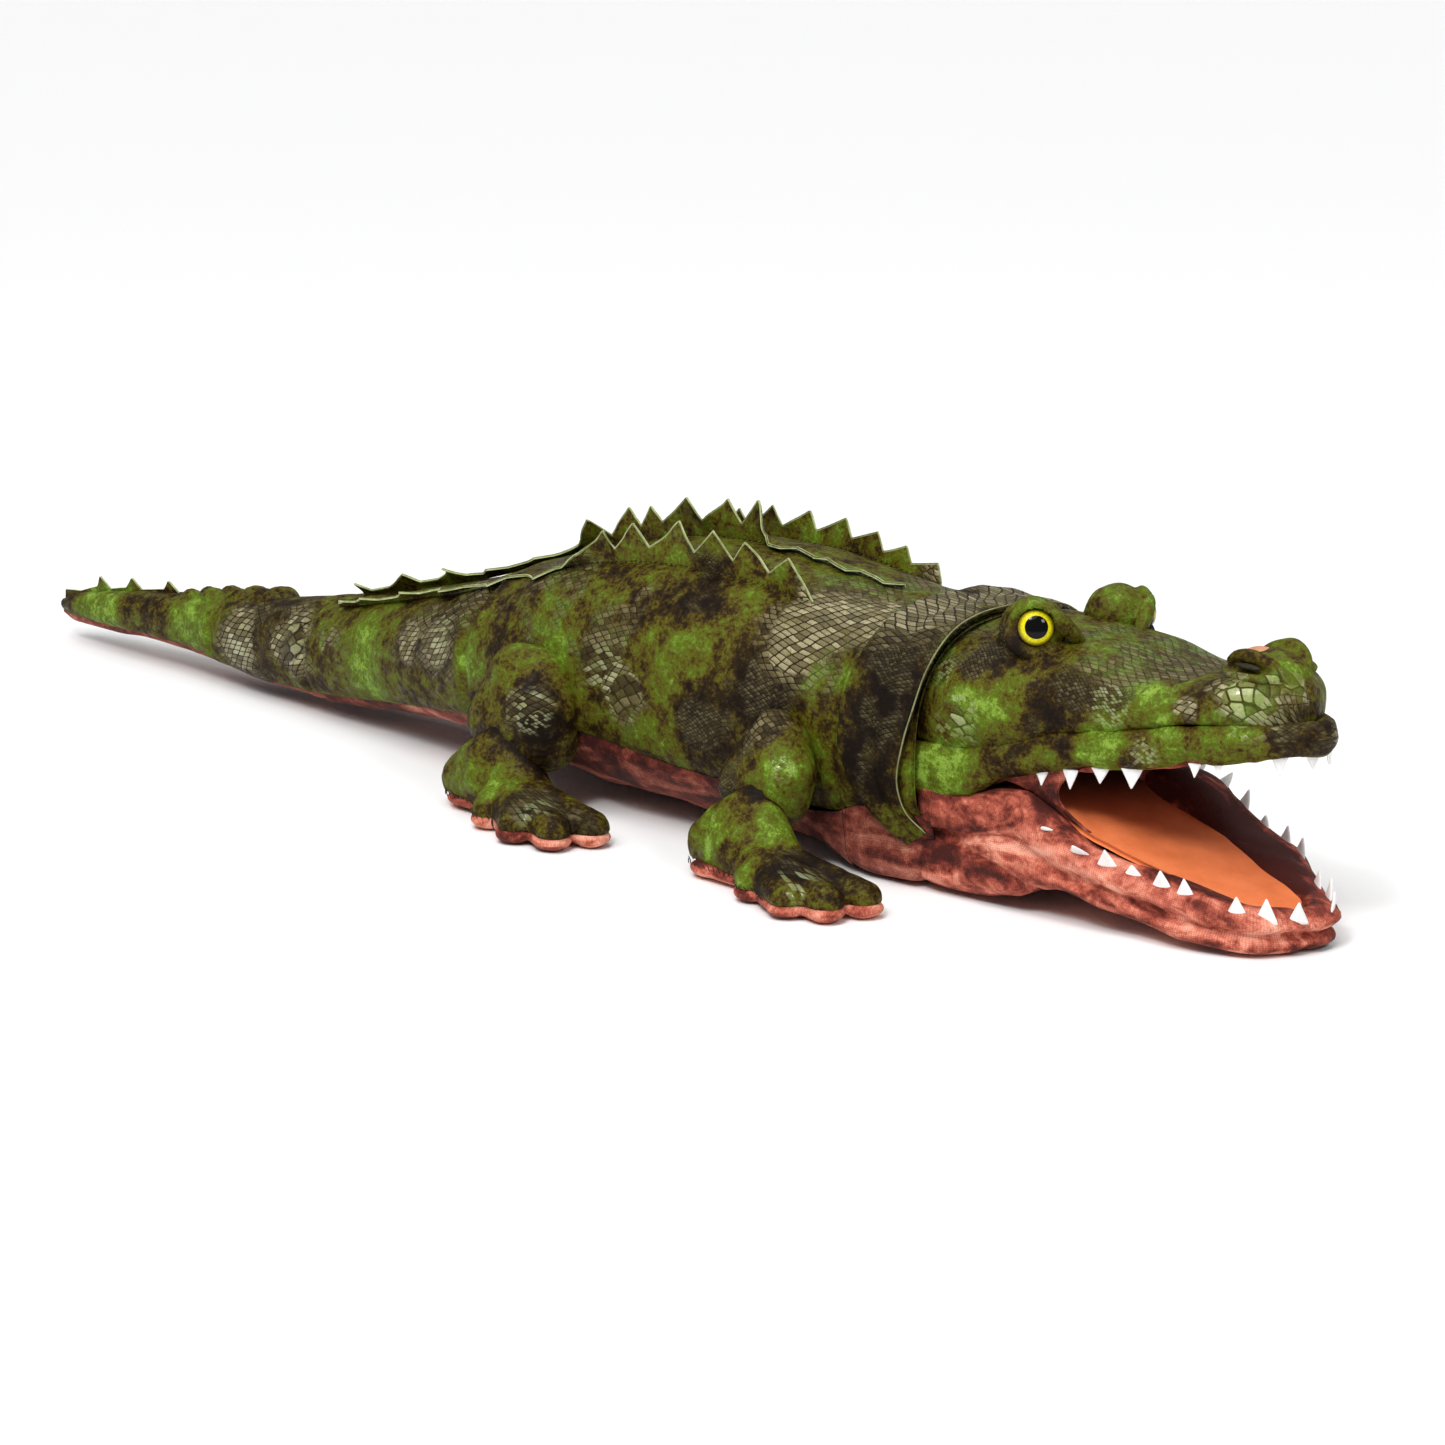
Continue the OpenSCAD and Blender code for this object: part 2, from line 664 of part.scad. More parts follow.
module foot_front(side) {
    color(leaf_green) right_or_left(side) foot_shape(front_shank, front_toes);
}

module foot_hind(side) {
    color(leaf_green) right_or_left(side) foot_shape(hind_shank, hind_toes);
}

module sole_front(side) {
    color(salmon) right_or_left(side) sole_shape(front_heel, front_toes);
}

module sole_hind(side) {
    color(salmon) right_or_left(side) sole_shape(hind_heel, hind_toes);
}

// Height up to which the tail's underside is plain cloth.
tail_belly_h = 17;

module below(h) {
    translate([-600, -100, -10]) cube([600, 200, 10 + h]);
}

module tail_part(x_rear, x_front, rear_slope, front_slope) {
    stuffed(x_rear, x_front, rear_slope, front_slope, 0, tail_sides);
}

module tail_base() {
    color(leaf_green)
    difference() {
        tail_part(bend_2, bend_1, bend_slope, bend_slope);
        below(tail_belly_h + gap);
    }
}

module tail_base_belly() {
    color(salmon) intersection() {
        tail_part(bend_2, bend_1, bend_slope, bend_slope);
        below(tail_belly_h);
    }
}

module tail_ridge_center() {
    color(leaf_green) ridge(tail_teeth, 0);
}

module tail_ridge_left() {
    color(leaf_green) ridge(tail_teeth, 1);
}

module tail_ridge_right() {
    color(leaf_green) ridge(tail_teeth, -1);
}

module tail_mid() {
    color(leaf_green)
    difference() {
        tail_part(bend_3, bend_2, bend_slope, bend_slope);
        below(tail_belly_h + gap);
    }
}

module tail_mid_belly() {
    color(salmon) intersection() {
        tail_part(bend_3, bend_2, bend_slope, bend_slope);
        below(tail_belly_h);
    }
}

// Rounded puffs along the tail: distance and radius.
puffs = [[-392, 11], [-368, 12], [-343, 13], [-316, 14]];

module tail_puffs() {
    color(olive)
    difference() {
        for (p = puffs) translate([p[0], 6, top_z(p[0]) - 2]) sphere(r = p[1], $fn = 24);
        stuffed(bend_3, bend_2, bend_slope, bend_slope, -gap, tail_sides);
    }
}

module tail_tip() {
    color(leaf_green)
    loft(concat(
        [for (s = trunk) if (s[0] < bend_3 - 8) ring(s[0], s[1], s[2], s[3], tail_sides)],
        [
            ring(bend_3 - 1 - bend_slope * half_w(bend_3), half_w(bend_3), top_z(bend_3), bot_z(bend_3), tail_sides),
            ring(bend_3 - 2, 4, 36, 28, tail_sides)
        ]
    ));
}

spike_line = [[-539, 1], [-536, 6], [-520, 2], [-498, 11], [-490, 2], [-464, 10], [-455, 2], [-424, 9], [-418, 1]];

module tail_spikes() {
    color(leaf_green) ridge(spike_line, 0);
}

back_skin();
belly_panel();
torso_stuffing();
arm_sleeve();
ridge_center();
ridge_left();
ridge_right();
neck_stuffing();
collar();
head_foam();
head_skin();
upper_lip();
palate_board();
finger_pocket();
eye_mound(1);  // eye_mound_left
eye_mound(-1);  // eye_mound_right
eyelid(1);  // eyelid_left
eyelid(-1);  // eyelid_right
eye(1);  // eye_left
eye(-1);  // eye_right
eye_washer(1);  // eye_washer_left
eye_washer(-1);  // eye_washer_right
nose_pad();
nostril(1);  // nostril_left
nostril(-1);  // nostril_right
upper_teeth();
jaw_skin();
jaw_foam();
lower_lip();
mouth_plate();
thumb_pocket();
lower_teeth();
thigh_front(1);  // thigh_front_left
thigh_front(-1);  // thigh_front_right
thigh_hind(1);  // thigh_hind_left
thigh_hind(-1);  // thigh_hind_right
foot_front(1);  // foot_front_left
foot_front(-1);  // foot_front_right
foot_hind(1);  // foot_hind_left
foot_hind(-1);  // foot_hind_right
sole_front(1);  // sole_front_left
sole_front(-1);  // sole_front_right
sole_hind(1);  // sole_hind_left
sole_hind(-1);  // sole_hind_right
tail_base();
tail_base_belly();
tail_ridge_center();
tail_ridge_left();
tail_ridge_right();
tail_mid();
tail_mid_belly();
tail_puffs();
tail_tip();
tail_spikes();
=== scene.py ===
"""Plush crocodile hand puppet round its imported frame. Lengths below are in mm until a mesh is made."""
import math

import bmesh
import bpy
import numpy as np
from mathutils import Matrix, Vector
from mathutils.kdtree import KDTree


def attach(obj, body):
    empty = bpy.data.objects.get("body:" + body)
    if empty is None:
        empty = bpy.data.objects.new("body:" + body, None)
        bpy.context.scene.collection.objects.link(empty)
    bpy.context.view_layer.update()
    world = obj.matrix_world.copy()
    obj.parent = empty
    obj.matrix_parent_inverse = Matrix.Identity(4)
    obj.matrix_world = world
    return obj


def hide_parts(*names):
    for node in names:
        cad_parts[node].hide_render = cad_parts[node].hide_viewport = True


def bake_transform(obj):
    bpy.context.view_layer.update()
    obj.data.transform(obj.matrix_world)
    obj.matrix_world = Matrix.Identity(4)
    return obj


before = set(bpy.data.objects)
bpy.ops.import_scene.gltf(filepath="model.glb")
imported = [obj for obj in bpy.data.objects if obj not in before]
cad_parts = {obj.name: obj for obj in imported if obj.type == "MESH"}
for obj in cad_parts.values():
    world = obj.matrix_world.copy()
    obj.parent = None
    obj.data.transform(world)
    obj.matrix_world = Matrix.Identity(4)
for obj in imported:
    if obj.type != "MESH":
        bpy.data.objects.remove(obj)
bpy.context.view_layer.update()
MM = 0.001
SIDES = (("right", -1), ("left", 1))
SKIN_THICK = 1.4
HINGE_X, HINGE_Z = 350, 70
PALATE_RISE, PLATE_FALL = 0.22, 0.31
# Bends of the body: its two bodies, and where, in metres, the cloth would pass from following one to following the
# other. Only the names are read here: a piece on a bend is attached to neither body.
BENDS = {
    "neck_turn": ("torso", "neck", (0.205, 0, 0.085), (0.262, 0, 0.085)),
    "head_nod": ("neck", "head", (0.285, 0, 0.085), (0.312, 0, 0.085)),
    "mouth": ("head", "lower_jaw", (0.322, 0, 0.07), (0.365, 0, 0.07)),
    "cheek": ("head", "lower_jaw", (0.37, 0, 0.084), (0.37, 0, 0.056)),
    "tail_base_bend": ("torso", "tail_base", (-0.110, 0, 0.05), (-0.190, 0, 0.05)),
    "tail_middle_bend": ("tail_base", "tail_middle", (-0.265, 0, 0.035), (-0.315, 0, 0.035)),
    "tail_end_bend": ("tail_middle", "tail_end", (-0.385, 0, 0.03), (-0.435, 0, 0.03)),
}


# ---------------------------------------------------------------- tools for shapes
def smooth_table(rows):
    """Monotone cubic curves through the rows of a table; the first column is the distance."""
    table = np.array(rows, float)
    x, y = table[:, 0], table[:, 1:]
    h = np.diff(x)[:, None]
    d = np.diff(y, axis=0) / h
    m = np.vstack([d[:1], d, d[-1:]])[: len(x)]
    m[0], m[-1] = d[0], d[-1]
    a, b = d[:-1], d[1:]
    same = a * b > 0
    w1, w2 = 2 * h[1:] + h[:-1], h[1:] + 2 * h[:-1]
    m[1:-1] = np.where(same, (w1 + w2) / (w1 / np.where(same, a, 1) + w2 / np.where(same, b, 1)), 0)

    def at(q):
        q = np.atleast_1d(np.asarray(q, float))
        i = np.clip(np.searchsorted(x, q, side="right") - 1, 0, len(x) - 2)
        s = np.clip((q - x[i]) / h[i, 0], 0, 1)[:, None]
        step = h[i]
        return (
            y[i] * (2 * s**3 - 3 * s**2 + 1)
            + m[i] * step * (s**3 - 2 * s**2 + s)
            + y[i + 1] * (3 * s**2 - 2 * s**3)
            + m[i + 1] * step * (s**3 - s**2)
        )

    return at


def curve_through(points, n):
    """n points along a centripetal spline through the given ones, with any number of columns."""
    p = np.array(points, float)
    t = np.concatenate([[0], np.cumsum(np.linalg.norm(np.diff(p[:, :3], axis=0), axis=1) ** 0.75)])
    m = np.gradient(p, t, axis=0)
    q = np.linspace(0, t[-1], n)
    i = np.clip(np.searchsorted(t, q, side="right") - 1, 0, len(t) - 2)
    h = (t[i + 1] - t[i])[:, None]
    s = ((q - t[i])[:, None]) / h
    return (
        p[i] * (2 * s**3 - 3 * s**2 + 1)
        + m[i] * h * (s**3 - 2 * s**2 + s)
        + p[i + 1] * (3 * s**2 - 2 * s**3)
        + m[i + 1] * h * (s**3 - s**2)
    )


def travelled(path):
    """Distance gone at each point of a path."""
    return np.concatenate([[0], np.cumsum(np.linalg.norm(np.diff(path, axis=0), axis=1))])


def even(path, n):
    """The path again with n points evenly apart."""
    t = travelled(path[:, :3])
    q = np.linspace(0, t[-1], n)
    return np.stack([np.interp(q, t, path[:, k]) for k in range(path.shape[1])], axis=1)


LATTICE = np.random.default_rng(5).uniform(-1, 1, (32, 32, 32))


def noise(p, size, shift=0.0):
    """Smooth noise from -1 to 1 at points p; size is the width of a bump in mm."""
    q = np.asarray(p, float) / size + 7.31 * shift + 16
    i = np.floor(q).astype(int)
    f = q - i
    f = f * f * (3 - 2 * f)
    out = 0.0
    for c in range(8):
        o = np.array([c & 1, (c >> 1) & 1, c >> 2])
        k = (i + o) % 32
        out = out + np.prod(np.where(o, f, 1 - f), axis=-1) * LATTICE[k[..., 0], k[..., 1], k[..., 2]]
    return out


def step(low, high, v):
    t = np.clip((v - low) / (high - low), 0, 1)
    return t * t * (3 - 2 * t)


def bell(v, width):
    return np.exp(-((v / width) ** 2))


def grid(*columns):
    """Arrays of numbers, spread to one shape, as the columns of points."""
    return np.stack(np.broadcast_arrays(*columns), axis=-1)


def bump(p, centre, radius, height):
    """A round rise of the surface near centre."""
    d = np.linalg.norm((np.asarray(p) - centre) / radius, axis=-1)
    return height * np.exp(-d * d)


def power(v, e):
    return np.sign(v) * np.abs(v) ** (2 / e)


def section(x, angle, width, top, bottom, e):
    """Points of superellipse sections: x and its sizes are rows, angle is rows by columns."""
    x, width, top, bottom = (np.asarray(v, float)[:, None] for v in (x, width, top, bottom))
    y = width * power(np.cos(angle), e)
    z = (top + bottom) / 2 + (top - bottom) / 2 * power(np.sin(angle), e)
    return grid(x, y, z)


def angle_at(z, top, bottom, e):
    """Angle at which sections cross height z."""
    s = np.clip((2 * z - top - bottom) / (top - bottom), -0.97, 0.97)
    return np.sign(s) * np.arcsin(np.abs(s) ** (e / 2))


def grid_normals(p, wrap=False):
    if wrap:
        across = np.roll(p, -1, axis=1) - np.roll(p, 1, axis=1)
    else:
        across = np.gradient(p, axis=1)
    n = np.cross(across, np.gradient(p, axis=0))
    return n / np.maximum(np.linalg.norm(n, axis=-1, keepdims=True), 1e-9)


def pushed(p, amount, wrap=False):
    return p + grid_normals(p, wrap) * amount[..., None]


def grid_faces(rows, columns, first=0, wrap=False, flip=False):
    i, j = np.meshgrid(np.arange(rows - 1), np.arange(columns if wrap else columns - 1), indexing="ij")
    k = (j + 1) % columns
    f = np.stack([i * columns + j, i * columns + k, (i + 1) * columns + k, (i + 1) * columns + j], axis=-1)
    f = f.reshape(-1, 4) + first
    return f[:, ::-1] if flip else f


def shell(p, thick, wrap=False):
    """A sheet of cloth with its thickness inward, as points and faces."""
    rows, columns = p.shape[:2]
    inner = p - grid_normals(p, wrap) * thick
    n = rows * columns
    faces = [grid_faces(rows, columns, 0, wrap), grid_faces(rows, columns, n, wrap, flip=True)]
    index = np.arange(n).reshape(rows, columns)

    def rim(line):
        a, b = line[:-1], line[1:]
        return np.stack([a, a + n, b + n, b], axis=-1)

    ring = np.concatenate([index, index[:, :1]], axis=1) if wrap else index
    faces += [rim(ring[0])[:, ::-1], rim(ring[-1])]
    if not wrap:
        faces += [rim(index[:, 0]), rim(index[:, -1])[:, ::-1]]
    return np.concatenate([p.reshape(-1, 3), inner.reshape(-1, 3)]), np.concatenate(faces)


def tube(points, radii, sides=12, flat=None):
    """A closed tube along points; radii has one or two columns (across, up)."""
    p = np.asarray(points, float)
    r = np.asarray(radii, float).reshape(len(p), -1)
    r = np.repeat(r, 2, axis=1)[:, :2] if r.shape[1] == 1 else r
    along = np.gradient(p, axis=0)
    along /= np.linalg.norm(along, axis=1, keepdims=True)
    up = np.array([0, 0, 1.0]) if flat is None else np.asarray(flat, float)
    side = np.cross(along, up)
    side /= np.maximum(np.linalg.norm(side, axis=1, keepdims=True), 1e-6)
    up = np.cross(side, along)
    a = -np.linspace(0, 2 * math.pi, sides, endpoint=False)
    body = (
        p[:, None]
        + side[:, None] * (np.cos(a)[None, :, None] * r[:, 0][:, None, None])
        + up[:, None] * (np.sin(a)[None, :, None] * r[:, 1][:, None, None])
    )
    n = body.shape[0] * sides
    faces = [tuple(f) for f in grid_faces(len(p), sides, 0, wrap=True)]
    verts = np.concatenate([body.reshape(-1, 3), p[:1], p[-1:]])
    for k in range(sides):
        m = (k + 1) % sides
        faces.append((m, k, n))
        faces.append((n - sides + k, n - sides + m, n + 1))
    return verts, faces


def ball(centre, radii, n=20):
    """A closed ball of quads and end triangles."""
    t = np.linspace(0, math.pi, n)[1:-1]
    path = np.stack([0 * t, 0 * t, -np.cos(t)], axis=1)
    verts, faces = tube(path, np.sin(t), 2 * n, flat=(1, 0, 0))
    verts[-2], verts[-1] = (0, 0, -1), (0, 0, 1)
    return verts * np.asarray(radii, float) + np.asarray(centre, float), faces


def hull(points):
    made = bmesh.new()
    for p in points:
        made.verts.new(p)
    out = bmesh.ops.convex_hull(made, input=made.verts)
    bmesh.ops.delete(made, geom=[v for v in out["geom_interior"] if v.is_valid], context="VERTS")
    made.verts.index_update()
    verts = np.array([v.co for v in made.verts])
    faces = [tuple(v.index for v in f.verts) for f in made.faces]
    made.free()
    return verts, faces


def joined(parts):
    verts, faces, n = [], [], 0
    for v, f in parts:
        verts.append(np.asarray(v, float))
        faces += [tuple(int(k) + n for k in face) for face in f]
        n += len(v)
    return np.concatenate(verts), faces


def evaluated(obj):
    """Applies an object's modifiers."""
    made = bpy.data.meshes.new_from_object(obj.evaluated_get(bpy.context.evaluated_depsgraph_get()))
    old = obj.data
    obj.modifiers.clear()
    obj.data = made
    bpy.data.meshes.remove(old)


def coordinates(obj):
    co = np.empty(len(obj.data.vertices) * 3)
    obj.data.vertices.foreach_get("co", co)
    return co.reshape(-1, 3)


def sculpted(name, parts, voxel, smooth):
    """Closed parts grown together into one skin, in mm: points and faces."""
    verts, faces = joined(parts)
    mesh = bpy.data.meshes.new(name)
    mesh.from_pydata((verts * 0.01).tolist(), [], faces)
    obj = bpy.data.objects.new(name, mesh)
    bpy.context.collection.objects.link(obj)
    remesh = obj.modifiers.new("remesh", "REMESH")
    remesh.mode = "VOXEL"
    remesh.voxel_size = voxel * 0.01
    if smooth:
        soft = obj.modifiers.new("soft", "SMOOTH")
        soft.factor = 0.5
        soft.iterations = smooth
    evaluated(obj)
    verts = coordinates(obj) * 100
    faces = [tuple(p.vertices) for p in obj.data.polygons]
    mesh = obj.data
    bpy.data.objects.remove(obj)
    bpy.data.meshes.remove(mesh)
    return verts, faces


def point_normals(verts, faces):
    """Normals of a closed mesh of points and faces."""
    out = np.zeros_like(verts)
    by_size = {}
    for f in faces:
        by_size.setdefault(len(f), []).append(f)
    for size, group in by_size.items():
        f = np.array(group)
        n = np.cross(verts[f[:, 2]] - verts[f[:, 0]], verts[f[:, -1]] - verts[f[:, 1]])
        for k in range(size):
            np.add.at(out, f[:, k], n)
    return out / np.maximum(np.linalg.norm(out, axis=1, keepdims=True), 1e-9)


def raised(verts, faces, rise):
    """Points of a closed mesh moved out along their normals."""
    return verts + point_normals(verts, faces) * rise[:, None]


# ---------------------------------------------------------------- where the print changes
# Patches of the printed cloth, right side: x, y, z, radius, green, scaly, size of the scales.
PATCHES = [
    (8, -47, 133, 34, -0.2, 0.5, 0.3), (206, -30, 158, 28, 0.35, 0.0, 0.3), (120, -30, 160, 34, 0.15, 0.1, 0.3),
    (226, -21, 149, 26, 0.35, 0.3, 0.4), (152, -85, 107, 24, 0.40, -0.8, 0.3), (173, -62, 139, 18, 0.40, -0.5, 0.2),
    (107, -89, 80, 17, -0.2, 0.95, 1.0), (83, -85, 108, 20, -0.1, 0.8, 0.5), (100, -85, 124, 14, -0.2, 0.6, 0.45),
    (35, -72, 122, 22, 0.5, 0.35, 0.5), (45, -80, 100, 18, 0.5, 0.2, 0.5), (141, -62, 142, 20, -0.75, 0.3, 0.1),
    (207, -81, 98, 20, -0.85, 0.5, 0.05), (165, -86, 72, 22, -0.65, 0.55, 0.1), (130, -86, 58, 14, 0.5, -0.2, 0.2),
    (226, -53, 137, 30, -0.35, 1.0, 0.66), (220, -71, 122, 16, -0.4, 0.9, 0.68), (245, -76, 108, 12, 0.3, 0.4, 0.6),
    (262, -45, 145, 24, -0.3, 1.0, 0.66), (294, -37, 150, 28, -0.1, 1.0, 0.66), (295, 0, 153, 24, 0.0, 0.8, 0.66),
    (272, -80, 112, 13, 1.0, -0.9, 0.2), (273, -82, 88, 12, 1.0, -0.9, 0.2), (301, -80, 95, 24, -0.9, 0.3, 0.05),
    (294, -78, 72, 24, -0.85, 0.3, 0.1), (302, -74, 40, 12, 0.45, -0.4, 0.2), (303, -72, 124, 14, -0.7, 0.7, 0.1),
    (340, -67, 114, 15, 1.0, -0.6, 0.2), (326, -60, 131, 14, 0.35, 0.5, 0.2), (344, -67, 98, 15, 0.4, 0.8, 1.0),
    (359, -53, 146, 11, -0.6, 0.6, 0.1), (350, -60, 136, 13, -0.7, 0.7, 0.1), (372, -62, 118, 14, 0.45, -0.2, 0.2),
    (396, -58, 126, 12, 0.2, 0.0, 0.3), (413, -50, 132, 16, -0.8, 0.6, 0.1), (402, -56, 110, 18, -0.65, 0.2, 0.2),
    (433, -50, 125, 12, -0.1, 0.5, 0.15), (464, -42, 129, 16, 0.75, -0.5, 0.2), (482, -36, 136, 11, -0.6, 0.5, 0.2),
    (476, -40, 124, 9, -0.5, 0.8, 0.9), (511, -38, 136, 17, 0.35, 0.85, 1.0), (524, -14, 142, 16, 0.45, 0.7, 1.0),
    (420, -22, 142, 26, 0.45, 0.70, 0.5), (385, -10, 150, 20, 0.4, 0.4, 0.4), (450, -10, 138, 18, -0.2, 0.7, 0.4),
    (372, -42, 166, 12, 0.55, -0.2, 0.2), (366, -62, 138, 9, -0.7, 0.0, 0.1), (327, -64, 71, 20, 1.0, -0.8, 0.2),
    (376, -63, 82, 13, -0.35, 0.2, 0.2), (395, -58, 88, 9, 0.1, -0.1, 0.2), (430, -53, 98, 16, 1.0, -0.7, 0.2),
    (446, -50, 94, 7, -0.6, 0.4, 0.2), (470, -45, 105, 14, 0.85, -0.7, 0.2), (500, -40, 112, 12, 0.4, -0.4, 0.2),
    (534, -18, 118, 17, -0.8, 0.5, 0.3), (-530, 0, 25, 16, -0.1, 0.0, 0.2), (-484, -14, 32, 26, 0.75, -0.7, 0.2),
    (-440, -16, 40, 15, -0.3, 0.3, 0.2), (-415, -16, 43, 13, -0.1, 0.1, 0.2), (-369, -23, 41, 24, 0.85, -0.7, 0.2),
    (-313, -31, 38, 24, -0.6, 0.95, 0.7), (-254, -37, 48, 22, -0.4, 0.95, 0.85), (-280, -30, 62, 14, -0.6, 0.5, 0.2),
    (-208, -43, 56, 16, 0.3, 0.4, 0.6), (-160, -47, 51, 24, 0.9, -0.5, 0.3), (-110, -55, 70, 20, 0.0, 0.6, 0.6),
    (-75, -69, 81, 24, -0.5, 0.95, 0.6), (-36, -77, 76, 14, 0.9, -0.5, 0.3), (-55, -45, 112, 24, -0.3, 0.4, 0.4),
    (234, -105, 86, 15, -0.5, 0.5, 0.5), (225, -115, 62, 16, 0.0, 0.3, 0.3), (254, -111, 72, 14, 0.85, -0.2, 0.15),
    (250, -117, 50, 13, 0.25, -0.4, 0.2), (212, -108, 48, 12, -0.4, 0.3, 0.3), (221, -131, 28, 15, 1.0, -0.7, 0.2),
    (258, -122, 30, 14, 0.9, -0.5, 0.2), (238, -134, 20, 9, -0.2, 0.2, 0.3), (290, -130, 20, 24, -0.8, 0.3, 0.2),
    (262, -145, 12, 10, 0.6, -0.2, 0.2), (300, -158, 12, 9, 0.2, -0.1, 0.2), (37, -106, 89, 15, 0.4, -0.3, 0.2),
    (52, -117, 72, 18, -0.5, 0.6, 0.5), (64, -114, 54, 14, -0.9, 0.3, 0.2), (20, -116, 44, 16, -0.2, 0.1, 0.3),
    (10, -130, 22, 14, 0.2, 0.0, 0.3), (50, -134, 26, 14, 0.8, -0.5, 0.2), (84, -140, 20, 20, -0.6, 0.5, 0.3),
    (118, -134, 14, 14, -0.7, 0.2, 0.2),
]
# Places where foil on the print catches the light: x, y, z, radius.
FOIL = [
    (433, -50, 122, 13), (254, -112, 70, 13), (516, -36, 134, 22), (334, -68, 94, 13), (345, -67, 108, 12),
    (56, -116, 66, 14), (-254, -37, 46, 16), (-313, -31, 38, 14), (90, -86, 90, 18), (455, -46, 100, 10),
    (505, -40, 122, 8), (-75, -69, 85, 14), (300, -150, 20, 14), (95, -145, 18, 14), (326, -60, 125, 10),
]


def tone_at(p):
    """Green, scaly and size of scales at points; the left side has the patches a little further on."""
    q = np.array(p, float)
    left = q[:, 1] > 0
    q[left, 0] -= 14
    q[:, 1] = -np.abs(q[:, 1])
    tone = np.tile([-0.05, -0.15, 0.35], (len(q), 1))
    for x, y, z, r, *value in PATCHES:
        near = np.exp(-np.sum((q - (x, y, z)) ** 2, axis=1) / (r * r))
        w = np.clip(1.5 * near, 0, 1)[:, None]
        tone += (np.array(value) - tone) * w
    foil = np.zeros(len(q))
    for x, y, z, r in FOIL:
        foil = np.maximum(foil, np.exp(-np.sum((q - (x, y, z)) ** 2, axis=1) / (r * r)))
    return tone, foil


# ---------------------------------------------------------------- materials
class Graph:
    """Short names for the nodes of one material."""

    def __init__(self, name):
        self.material = bpy.data.materials.new(name)
        self.material.use_nodes = True
        self.tree = self.material.node_tree
        self.tree.nodes.clear()
        self.out = self.tree.nodes.new("ShaderNodeOutputMaterial")
        self.shader = self.tree.nodes.new("ShaderNodeBsdfPrincipled")
        self.tree.links.new(self.shader.outputs[0], self.out.inputs[0])

    def node(self, kind, inputs=(), **settings):
        made = self.tree.nodes.new(kind)
        for k, v in settings.items():
            setattr(made, k, v)
        for k, v in dict(inputs).items():
            self.put(made.inputs[k], v)
        return made

    def put(self, socket, value):
        if isinstance(value, bpy.types.NodeSocket):
            self.tree.links.new(value, socket)
        else:
            socket.default_value = value

    def attribute(self, name, output="Vector"):
        return self.node("ShaderNodeAttribute", attribute_name=name).outputs[output]

    def math(self, operation, a, b):
        return self.node("ShaderNodeMath", {0: a, 1: b}, operation=operation).outputs[0]

    def plus(self, total, *values):
        for value in values:
            total = self.math("ADD", total, value)
        return total

    def times(self, a, b):
        return self.math("MULTIPLY", a, b)

    def scaled(self, a, factor, add=0.0):
        return self.node("ShaderNodeMath", {0: a, 1: factor, 2: add}, operation="MULTIPLY_ADD").outputs[0]

    def between(self, value, low, high):
        """0 below low, 1 above high and smooth between."""
        inputs = {0: value, 1: low, 2: high}
        return self.node("ShaderNodeMapRange", inputs, interpolation_type="SMOOTHSTEP").outputs[0]

    def mix(self, factor, a, b, blend="MIX"):
        inputs = {0: factor, 6: a, 7: b}
        return self.node("ShaderNodeMix", inputs, data_type="RGBA", blend_type=blend).outputs[2]

    def blend(self, factor, a, b):
        return self.node("ShaderNodeMix", {0: factor, 2: a, 3: b}, data_type="FLOAT").outputs[0]

    def multiplied(self, a, b):
        return self.mix(1.0, a, b, "MULTIPLY")

    def ramp(self, factor, stops):
        made = self.node("ShaderNodeValToRGB")
        band = made.color_ramp
        while len(band.elements) < len(stops):
            band.elements.new(0.5)
        for element, (place, colour) in zip(band.elements, stops):
            element.position = place
            element.color = (*colour, 1)
        self.put(made.inputs[0], factor)
        return made.outputs[0]

    def noise(self, vector, scale, detail=2.0, rough=0.5, distortion=0.0):
        inputs = {"Vector": vector, "Scale": scale, "Detail": detail, "Roughness": rough, "Distortion": distortion}
        return self.node("ShaderNodeTexNoise", inputs).outputs["Fac"]

    def vector(self, operation, inputs, output=0):
        return self.node("ShaderNodeVectorMath", inputs, operation=operation).outputs[output]

    def shifted(self, vector, scale, amount):
        """The vector moved about by noise, by up to amount."""
        made = self.node("ShaderNodeTexNoise", {"Vector": vector, "Scale": scale, "Detail": 2.0})
        centred = self.vector("SUBTRACT", {0: made.outputs["Color"], 1: (0.5,) * 3})
        small = self.vector("SCALE", {0: centred, "Scale": amount})
        return self.vector("ADD", {0: vector, 1: small})

    def turned(self, vector, angle, scale):
        inputs = {"Vector": vector, "Rotation": (0, 0, math.radians(angle)), "Scale": scale}
        return self.node("ShaderNodeMapping", inputs).outputs[0]

    def cells(self, vector, feature, randomness, scale=1.0):
        inputs = {"Vector": vector, "Scale": scale, "Randomness": randomness}
        return self.node("ShaderNodeTexVoronoi", inputs, feature=feature, voronoi_dimensions="2D")

    def bands(self, vector, direction, scale, distortion):
        inputs = {"Vector": vector, "Scale": scale, "Distortion": distortion, "Detail": 1.0}
        return self.node("ShaderNodeTexWave", inputs, wave_type="BANDS", bands_direction=direction).outputs["Fac"]

    def bump(self, height, distance, strength):
        return self.node("ShaderNodeBump", {"Height": height, "Distance": distance, "Strength": strength}).outputs[0]

    def finish(self, **inputs):
        for k, v in inputs.items():
            self.put(self.shader.inputs[k.replace("_", " ")], v)
        return self.material


